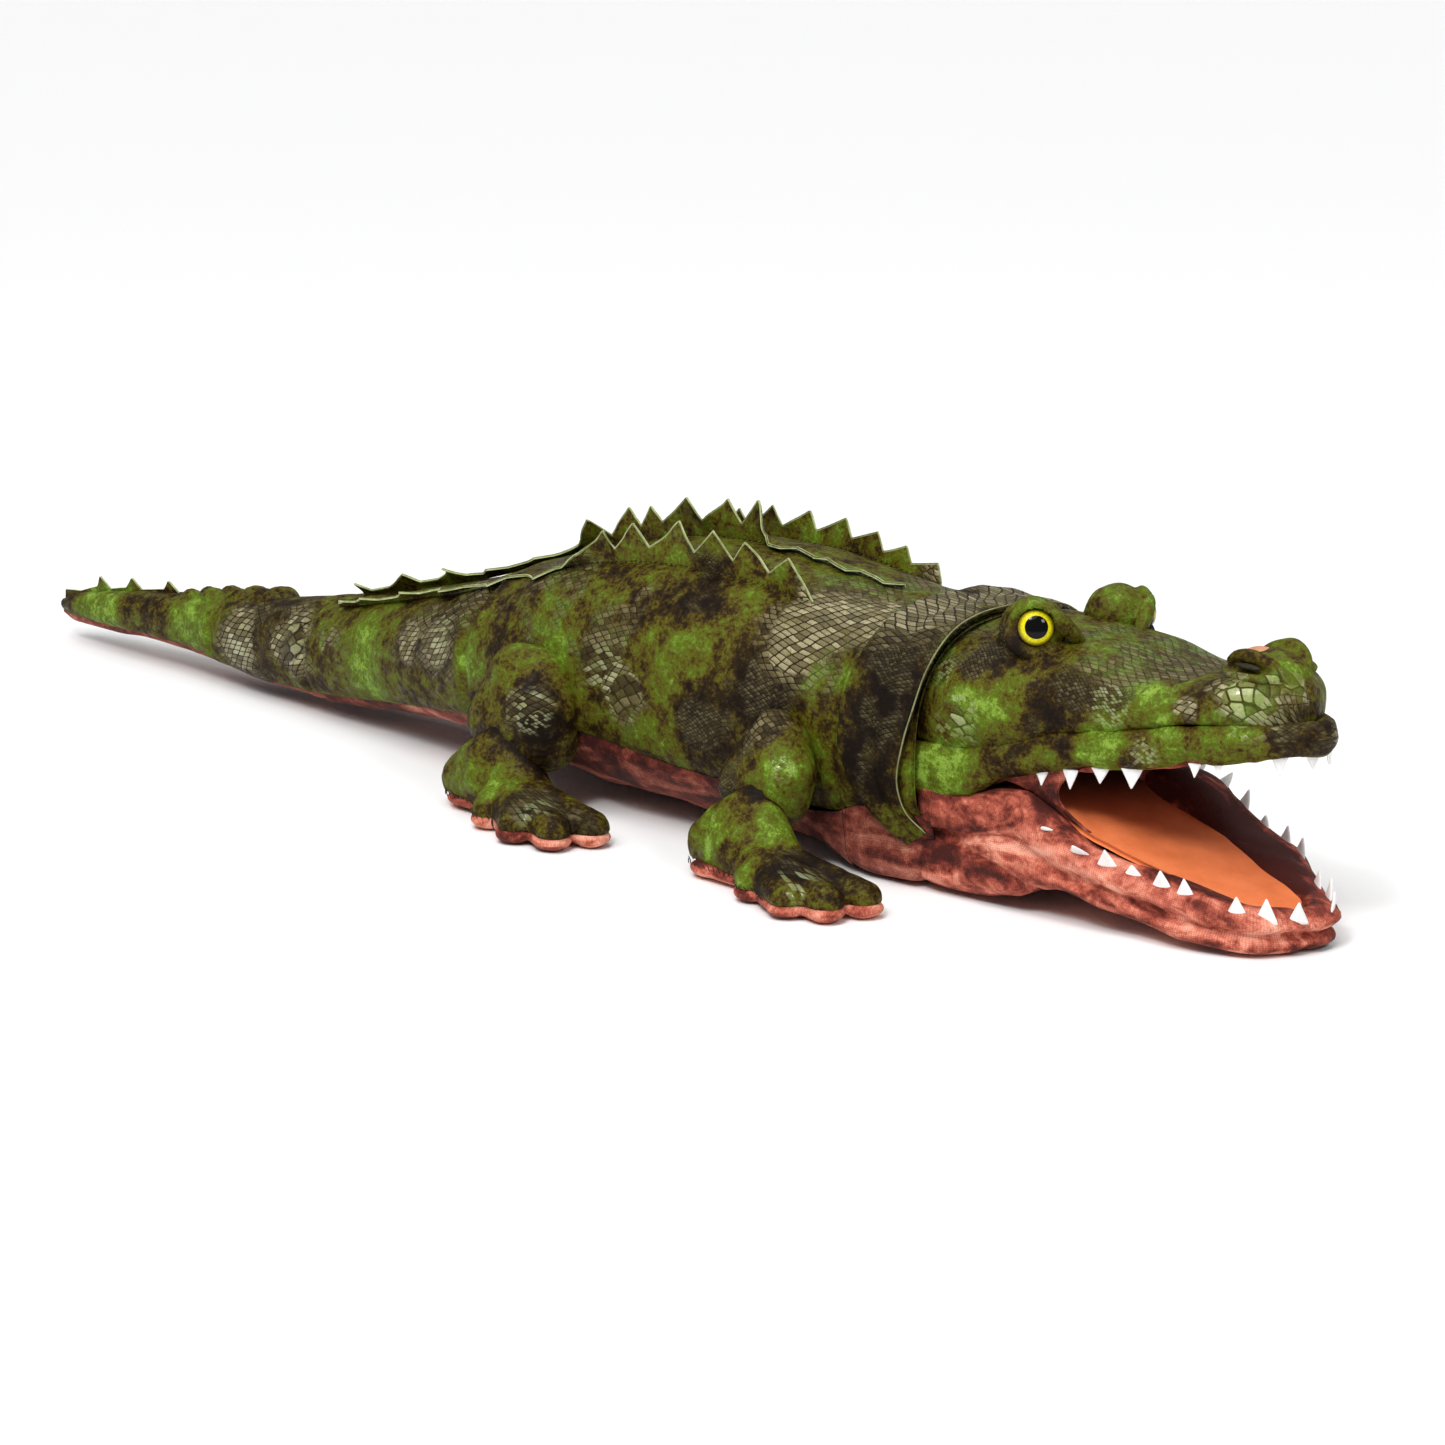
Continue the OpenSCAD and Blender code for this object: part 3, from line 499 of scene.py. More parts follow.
def scales(g, cloth, angle, long, wide, randomness):
    """One size of printed scales: how much a point is inside one, its own random value, its crown."""
    stretched = g.turned(cloth, angle, (1000 / long, 1000 / wide, 1))
    lattice = g.turned(stretched, 45, (1, 1, 1))
    edge = g.cells(lattice, "DISTANCE_TO_EDGE", randomness).outputs["Distance"]
    cell = g.cells(lattice, "F1", randomness)
    inside = g.times(g.between(edge, 0.05, 0.11), g.between(cell.outputs["Distance"], 0.59, 0.49))
    own = g.node("ShaderNodeSeparateColor", inputs={0: cell.outputs["Color"]}).outputs[0]
    return inside, own, g.between(edge, 0.04, 0.32)


def printed(name, shade=1.0, dark=0.0):
    """Velour printed with leaf green, olive and brown, snake scales and foil."""
    g = Graph(name)
    rest, cloth = g.attribute("rest"), g.attribute("cloth")
    parts = g.node("ShaderNodeSeparateXYZ", inputs={0: g.attribute("tone")})
    green, scaly, size = parts.outputs
    foil = g.attribute("foil", "Fac")
    wavy = g.shifted(cloth, 26.0, 0.010)
    wide, middle = g.noise(rest, 26.0, 3.0, 0.6, 0.4), g.noise(rest, 95.0, 4.0, 0.65)
    fine, grain = g.noise(rest, 420.0, 3.0, 0.7), g.noise(rest, 2600.0, 2.0, 0.7)
    level = g.plus(green, g.scaled(wide, 1.7, -0.85 - dark), g.scaled(middle, 3.4, -1.75), g.scaled(fine, 2.2, -1.1))
    level = g.math("SUBTRACT", level, g.attribute("shadow", "Fac"))
    base = g.ramp(
        g.scaled(level, 0.4, 0.5),
        [
            (0.12, (0.007, 0.003, 0.001)), (0.33, (0.026, 0.014, 0.002)), (0.46, (0.070, 0.048, 0.004)),
            (0.58, (0.090, 0.088, 0.005)), (0.72, (0.086, 0.125, 0.006)), (0.85, (0.115, 0.190, 0.011)),
            (0.98, (0.210, 0.330, 0.040)),
        ],
    )
    greenness = g.between(level, -0.1, 0.7)
    kinds = (
        scales(g, wavy, 0, 2.6, 1.7, 0.15), scales(g, wavy, 76, 5.8, 3.1, 0.22), scales(g, wavy, 24, 6.8, 3.2, 0.12),
        scales(g, wavy, 80, 9.0, 6.4, 0.45),
    )
    picks = (g.between(size, 0.28, 0.34), g.between(size, 0.54, 0.60), g.between(size, 0.80, 0.86))
    chosen = kinds[0]
    for pick, kind in zip(picks, kinds[1:]):
        chosen = [g.blend(pick, a, b) for a, b in zip(chosen, kind)]
    inside, own, crown = chosen
    area = g.between(g.plus(scaly, g.scaled(g.noise(rest, 48.0, 3.0, 0.6), 2.4, -1.2)), 0.20, 0.62)
    scale = g.times(inside, area)
    small = g.math("SUBTRACT", 1.0, picks[0])
    seen = g.times(g.times(scale, g.scaled(own, 0.35, 0.60)), g.scaled(small, -0.45, 1.0))
    taupe = g.ramp(own, [(0.0, (0.038, 0.026, 0.008)), (0.5, (0.100, 0.080, 0.030)), (1.0, (0.20, 0.165, 0.080))])
    pale = g.ramp(own, [(0.0, (0.16, 0.135, 0.062)), (0.5, (0.245, 0.208, 0.105)), (1.0, (0.40, 0.350, 0.205))])
    gold = g.ramp(own, [(0.0, (0.09, 0.10, 0.018)), (0.5, (0.205, 0.225, 0.055)), (1.0, (0.42, 0.45, 0.17))])
    neat = g.times(g.between(size, 0.54, 0.62), g.math("SUBTRACT", 1.0, picks[2]))
    taupe = g.mix(neat, taupe, pale)
    taupe = g.mix(g.times(picks[2], g.between(green, 0.0, 0.25)), taupe, gold)
    tinted = g.mix(g.scaled(greenness, 0.75), taupe, g.mix(0.50, base, (0.16, 0.23, 0.05, 1)))
    gaps = g.mix(g.scaled(area, 0.60), base, (0.016, 0.010, 0.003, 1))
    colour = g.mix(seen, gaps, tinted)
    vein = g.cells(g.shifted(cloth, 120.0, 0.010), "DISTANCE_TO_EDGE", 1.0, 115.0).outputs["Distance"]
    vein = g.times(g.between(vein, 0.09, 0.0), g.times(greenness, g.math("SUBTRACT", 1.0, area)))
    colour = g.mix(g.scaled(vein, 0.15), colour, (0.28, 0.40, 0.10, 1))
    colour = g.multiplied(colour, g.ramp(grain, [(0.28, (0.62,) * 3), (0.72, (1.32,) * 3)]))
    speck = g.between(g.noise(rest, 900.0, 2.0, 0.5), 0.60, 0.68)
    colour = g.mix(g.scaled(speck, 0.40), colour, (0.020, 0.012, 0.003, 1))
    colour = g.multiplied(colour, (shade, shade, shade, 1))
    # Foil cells at the places in FOIL: low roughness and a coat, and a paler colour that is partly the foil's own and
    # partly a painted highlight where the foil caught the light.
    foil_gloss_and_highlight = g.times(g.times(g.between(foil, 0.25, 0.7), g.between(own, 0.45, 0.6)), inside)
    colour = g.mix(g.scaled(foil_gloss_and_highlight, 0.32), colour, (0.42, 0.48, 0.20, 1))
    wet = g.between(g.noise(rest, 160.0, 2.0, 0.5), 0.5, 0.66)
    rough = g.blend(g.math("MAXIMUM", scale, g.scaled(wet, 0.8)), 0.62, 0.30)
    rough = g.blend(foil_gloss_and_highlight, rough, 0.10)
    relief = g.plus(g.scaled(g.times(crown, area), 0.55), g.scaled(vein, 0.18), g.scaled(fine, 0.5))
    relief = g.plus(relief, g.scaled(grain, 0.22))
    return g.finish(
        Base_Color=colour, Roughness=rough, Normal=g.bump(relief, 0.0011, 0.8), Coat_Weight=g.times(foil_gloss_and_highlight, 0.8),
        Coat_Roughness=0.08, Sheen_Weight=0.0, Specular_IOR_Level=0.11,
    )


def salmon(name, shade=1.0, dark=0.0):
    """Knitted velour, salmon with dark red-brown streaks."""
    g = Graph(name)
    rest, cloth = g.attribute("rest"), g.attribute("cloth")
    wide = g.noise(g.turned(rest, 0, (17, 42, 42)), 1.0, 3.0, 0.62, 0.8)
    middle, fine = g.noise(rest, 120.0, 4.0, 0.7, 0.5), g.noise(rest, 700.0, 3.0, 0.7)
    level = g.plus(g.scaled(wide, 2.7, -0.84 - dark), g.scaled(middle, 1.1, -0.55), g.scaled(fine, 0.4, -0.2))
    level = g.math("SUBTRACT", level, g.attribute("shadow", "Fac"))
    base = g.ramp(
        level,
        [
            (0.0, (0.060, 0.008, 0.005)), (0.22, (0.180, 0.028, 0.016)), (0.45, (0.430, 0.095, 0.056)),
            (0.68, (0.700, 0.230, 0.150)), (0.92, (0.860, 0.400, 0.285)),
        ],
    )
    loops = g.times(g.bands(g.shifted(cloth, 300.0, 0.0006), "X", 240.0, 1.2), g.bands(cloth, "Y", 300.0, 2.0))
    colour = g.multiplied(base, g.ramp(loops, [(0.0, (0.80,) * 3), (0.7, (1.18,) * 3)]))
    colour = g.multiplied(colour, (shade, shade, shade, 1))
    relief = g.plus(g.scaled(loops, 0.35), g.scaled(fine, 0.45))
    return g.finish(
        Base_Color=colour, Roughness=0.75, Normal=g.bump(relief, 0.0007, 0.8), Sheen_Weight=0.03,
        Sheen_Roughness=0.4, Sheen_Tint=(1.0, 0.72, 0.6, 1), Specular_IOR_Level=0.25,
    )


def plain(name, colours, rough, size, relief, sheen=0.0):
    """Cloth, felt or foam of one colour with soft variation and a fine grain."""
    g = Graph(name)
    rest = g.attribute("rest")
    cloud, fine = g.noise(rest, size, 3.0, 0.6), g.noise(rest, 1600.0, 3.0, 0.75)
    mixed = g.plus(g.scaled(cloud, 0.7), g.scaled(fine, 0.3))
    colour = g.ramp(mixed, [(0.32, colours[0]), (0.68, colours[1])])
    light = g.math("SUBTRACT", 1.0, g.attribute("shadow", "Fac"))
    colour = g.multiplied(colour, g.node("ShaderNodeCombineXYZ", {0: light, 1: light, 2: light}).outputs[0])
    return g.finish(
        Base_Color=colour, Roughness=rough, Normal=g.bump(fine, relief, 0.7), Sheen_Weight=sheen,
        Specular_IOR_Level=0.25,
    )


def iris():
    """The glossy eye: a black pupil in a yellow ring with a dark rim."""
    g = Graph("eye_gloss")
    place = g.attribute("cloth")
    radius = g.vector("LENGTH", {0: place}, "Value")
    flecks = g.noise(place, 900.0, 3.0, 0.6)
    yellow = g.ramp(flecks, [(0.3, (0.48, 0.40, 0.004)), (0.7, (0.80, 0.74, 0.015))])
    shaded = g.mix(g.between(radius, 0.0074, 0.0096), yellow, (0.16, 0.11, 0.002, 1))
    colour = g.mix(g.between(radius, 0.0064, 0.0061), shaded, (0.003, 0.003, 0.003, 1))
    colour = g.mix(g.between(radius, 0.0095, 0.0098), colour, (0.012, 0.010, 0.004, 1))
    return g.finish(Base_Color=colour, Roughness=0.07, Specular_IOR_Level=0.14)


M = {
    "print": printed("back_print"),
    "print_dark": printed("dark_print", 0.8, 0.25),
    "ridge": printed("ridge_cloth", 1.15, -0.15),
    "salmon": salmon("belly_velour"),
    # a darker copy of the salmon velour for the roof of the mouth, the gum and the cheek webs: painted shade inside
    # the mouth
    "salmon_dark": salmon("palate_cloth", 0.75, 0.22),
    "orange": plain("mouth_foam", ((0.72, 0.168, 0.050), (0.90, 0.240, 0.082)), 0.85, 60.0, 0.0004),
    "felt": plain("tooth_felt", ((0.80, 0.80, 0.78), (0.95, 0.95, 0.94)), 0.9, 300.0, 0.0004),
    # a darker copy of the belly velour for the pieces that face the floor: painted shade on the underside
    "belly": salmon("belly_velour_in_shade", 0.62, 0.18),
    "spot": plain("nose_spot", ((0.46, 0.20, 0.11), (0.62, 0.32, 0.19)), 0.8, 200.0, 0.0003),
    "edge": plain("cut_edge", ((0.20, 0.25, 0.08), (0.52, 0.56, 0.28)), 0.8, 200.0, 0.0003),
    "welt": plain("pale_welt", ((0.10, 0.11, 0.04), (0.34, 0.35, 0.17)), 0.8, 90.0, 0.0003),
    "thread": plain("dark_thread", ((0.010, 0.008, 0.004), (0.035, 0.028, 0.014)), 0.7, 500.0, 0.0002),
    "lining": plain("lining", ((0.010, 0.010, 0.011), (0.030, 0.030, 0.033)), 0.85, 90.0, 0.0004, 0.15),
    "washer": plain("washer_plastic", ((0.010, 0.010, 0.010), (0.020, 0.020, 0.020)), 0.45, 200.0, 0.0001),
    "eye": iris(),
    "floor": plain("studio_floor", ((0.90, 0.90, 0.90), (0.93, 0.93, 0.93)), 0.8, 3.0, 0.0001),
}


# ---------------------------------------------------------------- making pieces
def make(name, shape, material, body, cloth=None, nodes=(), rim=None, shadow=None, weld=0.02):
    """
    A piece of the puppet from points in mm and faces. body is a body or a bend, cloth gives print coordinates in
    mm, nodes are the CAD nodes it stands for, and rim gives each face's material.
    """
    verts, faces = shape
    verts = np.asarray(verts, float)
    name = name + "_piece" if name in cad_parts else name
    mesh = bpy.data.meshes.new(name)
    mesh.from_pydata((verts * MM).tolist(), [], [tuple(int(k) for k in f) for f in faces])
    if cloth is None:
        cloth = grid(verts[:, 0], verts[:, 2] - np.abs(verts[:, 1]))
    cloth = np.asarray(cloth, float).reshape(-1, cloth.shape[-1])
    if cloth.shape[1] == 2:
        cloth = np.column_stack([cloth, np.zeros(len(cloth))])
    tone, foil = tone_at(verts)
    shadow = np.zeros(len(verts)) if shadow is None else np.asarray(shadow, float).ravel()
    for label, kind, values in (
        ("cloth", "FLOAT_VECTOR", cloth * MM), ("tone", "FLOAT_VECTOR", tone), ("foil", "FLOAT", foil),
        ("shadow", "FLOAT", shadow),
    ):
        data = mesh.attributes.new(label, kind, "POINT").data
        data.foreach_set("value" if kind == "FLOAT" else "vector", values.astype(np.float32).ravel())
    for m in [material] if isinstance(material, str) else material:
        mesh.materials.append(M[m])
    if rim is not None:
        mesh.polygons.foreach_set("material_index", np.asarray(rim, np.int32))
    obj = bpy.data.objects.new(name, mesh)
    bpy.context.collection.objects.link(obj)
    if weld:
        made = bmesh.new()
        made.from_mesh(mesh)
        bmesh.ops.remove_doubles(made, verts=made.verts, dist=weld * MM)
        bmesh.ops.dissolve_degenerate(made, edges=made.edges, dist=weld * MM * 0.5)
        made.to_mesh(mesh)
        made.free()
    mesh.validate(clean_customdata=False)
    rest = mesh.attributes.new("rest", "FLOAT_VECTOR", "POINT").data
    rest.foreach_set("vector", coordinates(obj).astype(np.float32).ravel())
    mesh.shade_smooth()
    if body in BENDS:
        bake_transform(obj)
    else:
        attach(obj, body)
    if nodes:
        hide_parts(*nodes)
    return obj


def doubled(cloth):
    """Print coordinates for both faces of a shell."""
    flat = cloth.reshape(-1, cloth.shape[-1])
    return np.concatenate([flat, flat])


def wrapped(verts, centre, out, up, radius):
    """Print coordinates laid over a blob without much stretch, from the point that faces out."""
    out, up = np.asarray(out, float), np.asarray(up, float)
    out = out / np.linalg.norm(out)
    across = np.cross(up, out)
    across /= np.linalg.norm(across)
    up = np.cross(out, across)
    d = np.asarray(verts, float) - centre
    flat = np.stack([d @ across, d @ up], axis=1)
    long = np.maximum(np.linalg.norm(flat, axis=1), 1e-6)
    return flat / long[:, None] * (radius * np.arctan2(long, d @ out))[:, None]


def arc_length(p):
    """Distance along each row of a grid, from its middle column."""
    d = np.linalg.norm(np.diff(p, axis=1), axis=-1)
    s = np.concatenate([np.zeros((len(p), 1)), np.cumsum(d, axis=1)], axis=1)
    return s - s[:, s.shape[1] // 2][:, None]


def stitches(name, path, every, length, radius, across, body):
    """Short threads over a seam: path has points, across has directions of the threads."""
    path = np.asarray(path, float)
    gone = travelled(path)
    count = max(2, int(gone[-1] / every))
    where = np.linspace(every / 2, gone[-1] - every / 2, count)
    spots = np.stack([np.interp(where, gone, path[:, k]) for k in range(3)], axis=1)
    ways = np.stack([np.interp(where, gone, np.asarray(across, float)[:, k]) for k in range(3)], axis=1)
    ways /= np.linalg.norm(ways, axis=1, keepdims=True)
    dice = np.random.default_rng(len(name) * 7 + count)
    parts = []
    for spot, way in zip(spots, ways):
        way = way + dice.normal(0, 0.14, 3)
        half = 0.5 * length * dice.uniform(0.75, 1.15) * way
        line = np.stack([spot - half, spot - 0.5 * half, spot + 0.5 * half, spot + half])
        parts.append(tube(line, [radius * 0.5, radius, radius, radius * 0.5], 6, flat=(0.3, 0.5, 0.8)))
    make(name, joined(parts), "thread", body, weld=0)


TRUNK = smooth_table([
    (-541, 4, 27, 16), (-520, 10, 34, 13), (-480, 15, 41, 13), (-440, 18, 46, 15), (-400, 21, 51, 14),
    (-350, 26, 57, 10), (-300, 33, 63, 6), (-250, 39, 71, 6), (-200, 47, 80, 8), (-150, 56, 92, 13),
    (-100, 66, 106, 16), (-50, 76, 122, 14), (0, 84, 138, 10), (50, 88, 151, 7), (100, 90, 158, 6),
    (150, 88, 159, 6), (200, 84, 153, 5), (250, 79, 148, 4), (275, 77, 148, 3), (300, 75, 147, 3),
    (322, 73, 147, 3),
])
SEAM = smooth_table([
    (-541, 18), (-400, 18), (-300, 10), (-150, 24), (-60, 36), (60, 49), (120, 43), (170, 39),
    (215, 31), (250, 34), (275, 42), (322, 44),
])
TRUNK_E = 2.4


def trunk_grid(x, upper, columns):
    width, top, bottom = TRUNK(x).T
    seam = angle_at(SEAM(x)[:, 0], top, bottom, TRUNK_E)[:, None]
    t = np.linspace(0, 1, columns)[None, :]
    angle = seam + (math.pi - 2 * seam) * t if upper else math.pi - seam + (math.pi + 2 * seam) * t
    return section(x, angle, width, top, bottom, TRUNK_E)


def skin(name, x0, x1, upper, columns, ends, extra, gap, bend, fill, nodes):
    """One length of the trunk's skin between two seams; ends are the depths of the tucks there."""
    x = np.linspace(x0, x1, int((x1 - x0) / gap) + 2)
    p = trunk_grid(x, upper, columns)
    v = arc_length(p)
    edge = np.minimum(v - v[:, :1], v[:, -1:] - v)
    if upper:
        rise = 1.5 * noise(p, 62, 1) + 0.7 * noise(p, 24, 2)
    else:
        rise = 1.8 * noise(p, 46, 3) + 1.0 * noise(p, 17, 4)
    size = step(0, 60, p[..., 2].max(axis=1) - 20)[:, None]
    rise = rise * (0.35 + 0.65 * size)
    rise -= 2.0 * bell(edge, 3.5)
    for place, depth, side in ((x0, ends[0], 1), (x1, ends[1], -1)):
        d = side * (x - place)[:, None] + 1.2 * noise(p, 20, 9)
        rise -= depth * bell(d, 4.0) - 0.35 * depth * bell(d - 8, 5.0)
    if extra is not None:
        rise = rise + extra(p)
    # the lower skins take the darker copy of the belly velour: painted shade on the underside
    material, slot = ("print", "back_print") if upper else ("belly", "belly_velour")
    make(name, shell(pushed(p, rise), SKIN_THICK), material, bend, doubled(grid(x[:, None], v)), nodes)


def throat_bulge(p):
    """The throat hangs to the floor at its sides."""
    side = np.exp(-(((np.abs(p[..., 1]) - 54) / 17) ** 2) - ((p[..., 2] - 17) / 15) ** 2)
    return 17.0 * side * step(205, 282, p[..., 0]) * (1 - 0.8 * step(304, 322, p[..., 0]))


def shoulder_folds(p):
    """Creases of the torso round the legs and in front of the hind thigh."""
    rise = throat_bulge(p)
    for side in (-1, 1):
        rise += bump(p, (20, 88 * side, 62), (26, 40, 34), -3.0) + bump(p, (226, 86 * side, 58), (26, 40, 34), -3.0)
        for x, lean, high, low, height in ((64, 0.20, 118, 80, 1.8), (196, -0.1, 105, 70, 1.5)):
            line = p[..., 0] - (x + lean * (p[..., 2] - 60))
            rise += height * bell(line, 6.0) * step(20, 50, side * p[..., 1]) * step(high, low, p[..., 2])
    return rise


for row in (
    ("torso_back", -45, 262, True, 104, (2.6, 0.5), shoulder_folds, 3.2, "neck_turn", 0.85,
     ("back_skin", "torso_stuffing")),
    ("tail_root_back", -240, -45, True, 84, (2.2, 2.6), None, 3.2, "tail_base_bend", 0.9, ("tail_base",)),
    ("tail_middle_back", -350, -240, True, 60, (2.0, 2.2), None, 2.6, "tail_middle_bend", 0.95, ("tail_mid",)),
    ("tail_tip_back", -541, -350, True, 48, (0.0, 2.0), None, 2.2, "tail_end_bend", 0.95, ("tail_tip",)),
    ("neck_back", 262, 316, True, 104, (0.5, 0.0), throat_bulge, 3.2, "head_nod", 0.8, ("neck_stuffing",)),
    ("tail_root_belly", -240, -45, False, 40, (1.4, 1.4), None, 3.2, "tail_base_bend", 0.9, ("tail_base_belly",)),
    ("tail_middle_belly", -350, -240, False, 26, (1.0, 1.4), None, 2.6, "tail_middle_bend", 0.95,
     ("tail_mid_belly",)),
    ("tail_tip_belly", -541, -350, False, 20, (0.0, 1.0), None, 2.2, "tail_end_bend", 0.95, ()),
    ("throat", 262, 322, False, 72, (0.0, 0.0), throat_bulge, 3.2, "head_nod", 0.7, ()),
):
    skin(*row)


# ---------------------------------------------------------------- belly with its arm opening
HOLE_X, HOLE_R = 140.0, 41.0


def belly():
    """The belly panel as rings from the hem of the arm opening out to the seams."""
    x0, x1 = -45.0, 262.0
    corner = [math.atan2(s, t) for t, s in ((x1 - HOLE_X, 150), (x0 - HOLE_X, 150))]
    bounds = [-corner[0], corner[0], corner[1], 2 * math.pi - corner[1], 2 * math.pi - corner[0]]
    counts = (56, 74, 56, 74)
    theta = np.concatenate([np.linspace(a, b, n, endpoint=False) for a, b, n in zip(bounds, bounds[1:], counts)])
    c, s = np.cos(theta), np.sin(theta)
    reach = np.minimum(
        np.where(c > 0, (x1 - HOLE_X) / np.maximum(c, 1e-6), (x0 - HOLE_X) / np.minimum(c, -1e-6)),
        150 / np.maximum(np.abs(s), 1e-6),
    )
    out_x, out_u = HOLE_X + reach * c, reach * s / 150
    in_x, in_y = HOLE_X + HOLE_R * c, HOLE_R * s

    def lateral(x, y):
        w, top, bottom = TRUNK(x).T
        seam = angle_at(SEAM(x)[:, 0], top, bottom, TRUNK_E)
        return np.sign(y) * np.arcsin((np.abs(y) / w) ** (TRUNK_E / 2)) / (math.pi / 2 + seam)

    in_u = lateral(in_x, in_y)
    t = np.linspace(0, 1, 52)[:, None] ** 1.15
    x, u = in_x + (out_x - in_x) * t, in_u + (out_u - in_u) * t
    w, top, bottom = (k.reshape(x.shape) for k in TRUNK(x.ravel()).T)
    seam = angle_at(SEAM(x.ravel())[:, 0].reshape(x.shape), top, bottom, TRUNK_E)
    angle = -math.pi / 2 + u * (math.pi / 2 + seam)
    y = w * power(np.cos(angle), TRUNK_E)
    z = (top + bottom) / 2 + (top - bottom) / 2 * power(np.sin(angle), TRUNK_E)
    p, u = grid(x, y, z)[:, ::-1], u[:, ::-1]
    d = np.hypot(p[..., 0] - HOLE_X, p[..., 1]) - HOLE_R
    rise = 2.0 * noise(p, 50, 3) + 1.1 * noise(p, 18, 4) + 0.8 * bell(d - 5, 4.0)
    rise -= 2.0 * bell((1 - np.abs(u)) * 100, 3.5) + 1.4 * bell(p[..., 0] - x0, 4.0)
    rise = (rise + throat_bulge(p)) * step(-1, 6, d)
    n = grid_normals(p, wrap=True)
    n = n * np.where(n[..., 2:].mean() > 0, -1, 1)
    p = p + n * rise[..., None]
    hem = p[:1] + np.array([0, 0, 1.0]) * np.array([8.0, 4.0])[:, None, None]
    hem[..., :2] = (p[:1, :, :2] - (HOLE_X, 0)) * np.array([1.03, 0.99])[:, None, None] + (HOLE_X, 0)
    return np.concatenate([hem, p])


p = belly()
# the belly panel takes the darker copy of the belly velour: painted shade on the underside
make(
    "torso_belly", shell(p, SKIN_THICK, wrap=True), "belly", "neck_turn", doubled(p[..., :2]),
    ("belly_panel",),
)

# the lining from the arm opening up to the neck
path = curve_through([(140, 0, 9), (140, 0, 22), (147, 0, 48), (168, 0, 72), (200, 0, 83), (252, 0, 86)], 70)
t = np.linspace(0, 1, len(path))[:, None]
along = np.gradient(path, axis=0)
along /= np.linalg.norm(along, axis=1, keepdims=True)
side = np.array([0, 1.0, 0])
up = np.cross(along, side)
a = np.linspace(0, 2 * math.pi, 72, endpoint=False)
radius = 39.0 - 1.0 * np.sin(t * math.pi)
p = path[:, None] + side * (np.cos(a) * radius)[..., None]
p = p + up[:, None] * (np.sin(a) * radius * (1 - 0.25 * t))[..., None]
p = p + (p - path[:, None]) * (0.030 * noise(p, 16, 2) + 0.03 * noise(p, 40, 3))[..., None]
tunnel = make(
    "arm_lining", shell(p[:, ::-1], 1.2, wrap=True), "lining", "torso",
    doubled(grid(t * 200, a * 38)[:, ::-1]), nodes=("arm_sleeve",),
)
a = np.linspace(0, 2 * math.pi, 90)
hem = grid(HOLE_X + 44 * np.cos(a), 44 * np.sin(a), 6.6)
stitches("arm_hem_stitches", hem, 5.5, 3.6, 0.35, grid(np.cos(a), np.sin(a), 0.0), "torso")


# ---------------------------------------------------------------- ridges along the back
def teeth_height(rows, x):
    """Height of a row of teeth at x, with concave sides from each dip to each tip."""
    k = np.array(rows, float)
    i = np.clip(np.searchsorted(k[:, 0], x, side="right") - 1, 0, len(k) - 2)
    s = np.clip((x - k[i, 0]) / (k[i + 1, 0] - k[i, 0]), 0, 1)
    a, b = k[i, 1], k[i + 1, 1]
    rising = b > a
    f = np.where(rising, s**1.12, 1 - (1 - s) ** 1.05)
    return a + (b - a) * f


CENTER = [
    (-226, 1), (-220, 13), (-214, 5), (-196, 7), (-171, 16), (-165, 8), (-148, 8), (-124, 17), (-118, 8), (-104, 10),
    (-87, 17), (-81, 9), (-62, 10), (-42, 18), (-35, 10), (-16, 11), (2, 19), (8, 9), (25, 22), (31, 10), (43, 21),
    (49, 11), (77, 25), (85, 11), (106, 25), (113, 11), (131, 27), (139, 9), (157, 13), (161, 6), (180, 12),
    (184, 5), (205, 11), (209, 4), (232, 9), (240, 1),
]
SIDE = [
    (-222, 1), (-203, 13), (-198, 6), (-180, 14), (-174, 6), (-150, 8), (-133, 16), (-127, 7), (-104, 9), (-86, 16),
    (-80, 7), (-62, 9), (-41, 16), (-35, 7), (-16, 9), (3, 16), (12, 7), (34, 9), (55, 21), (61, 10), (81, 25),
    (90, 11), (119, 29), (128, 12), (148, 27), (157, 11), (168, 24), (181, 10), (203, 25), (213, 1),
]
LEFT = [
    (-212, 1), (-196, 12), (-191, 6), (-170, 13), (-164, 6), (-142, 7), (-121, 14), (-115, 6), (-92, 8), (-73, 14),
    (-67, 7), (-48, 8), (-30, 14), (-24, 7), (-4, 9), (18, 15), (23, 8), (44, 19), (48, 9), (67, 20), (71, 9),
    (94, 22), (98, 10), (120, 21), (124, 10), (149, 20), (153, 9), (175, 18), (179, 8), (197, 16), (201, 7),
    (223, 13), (227, 1),
]


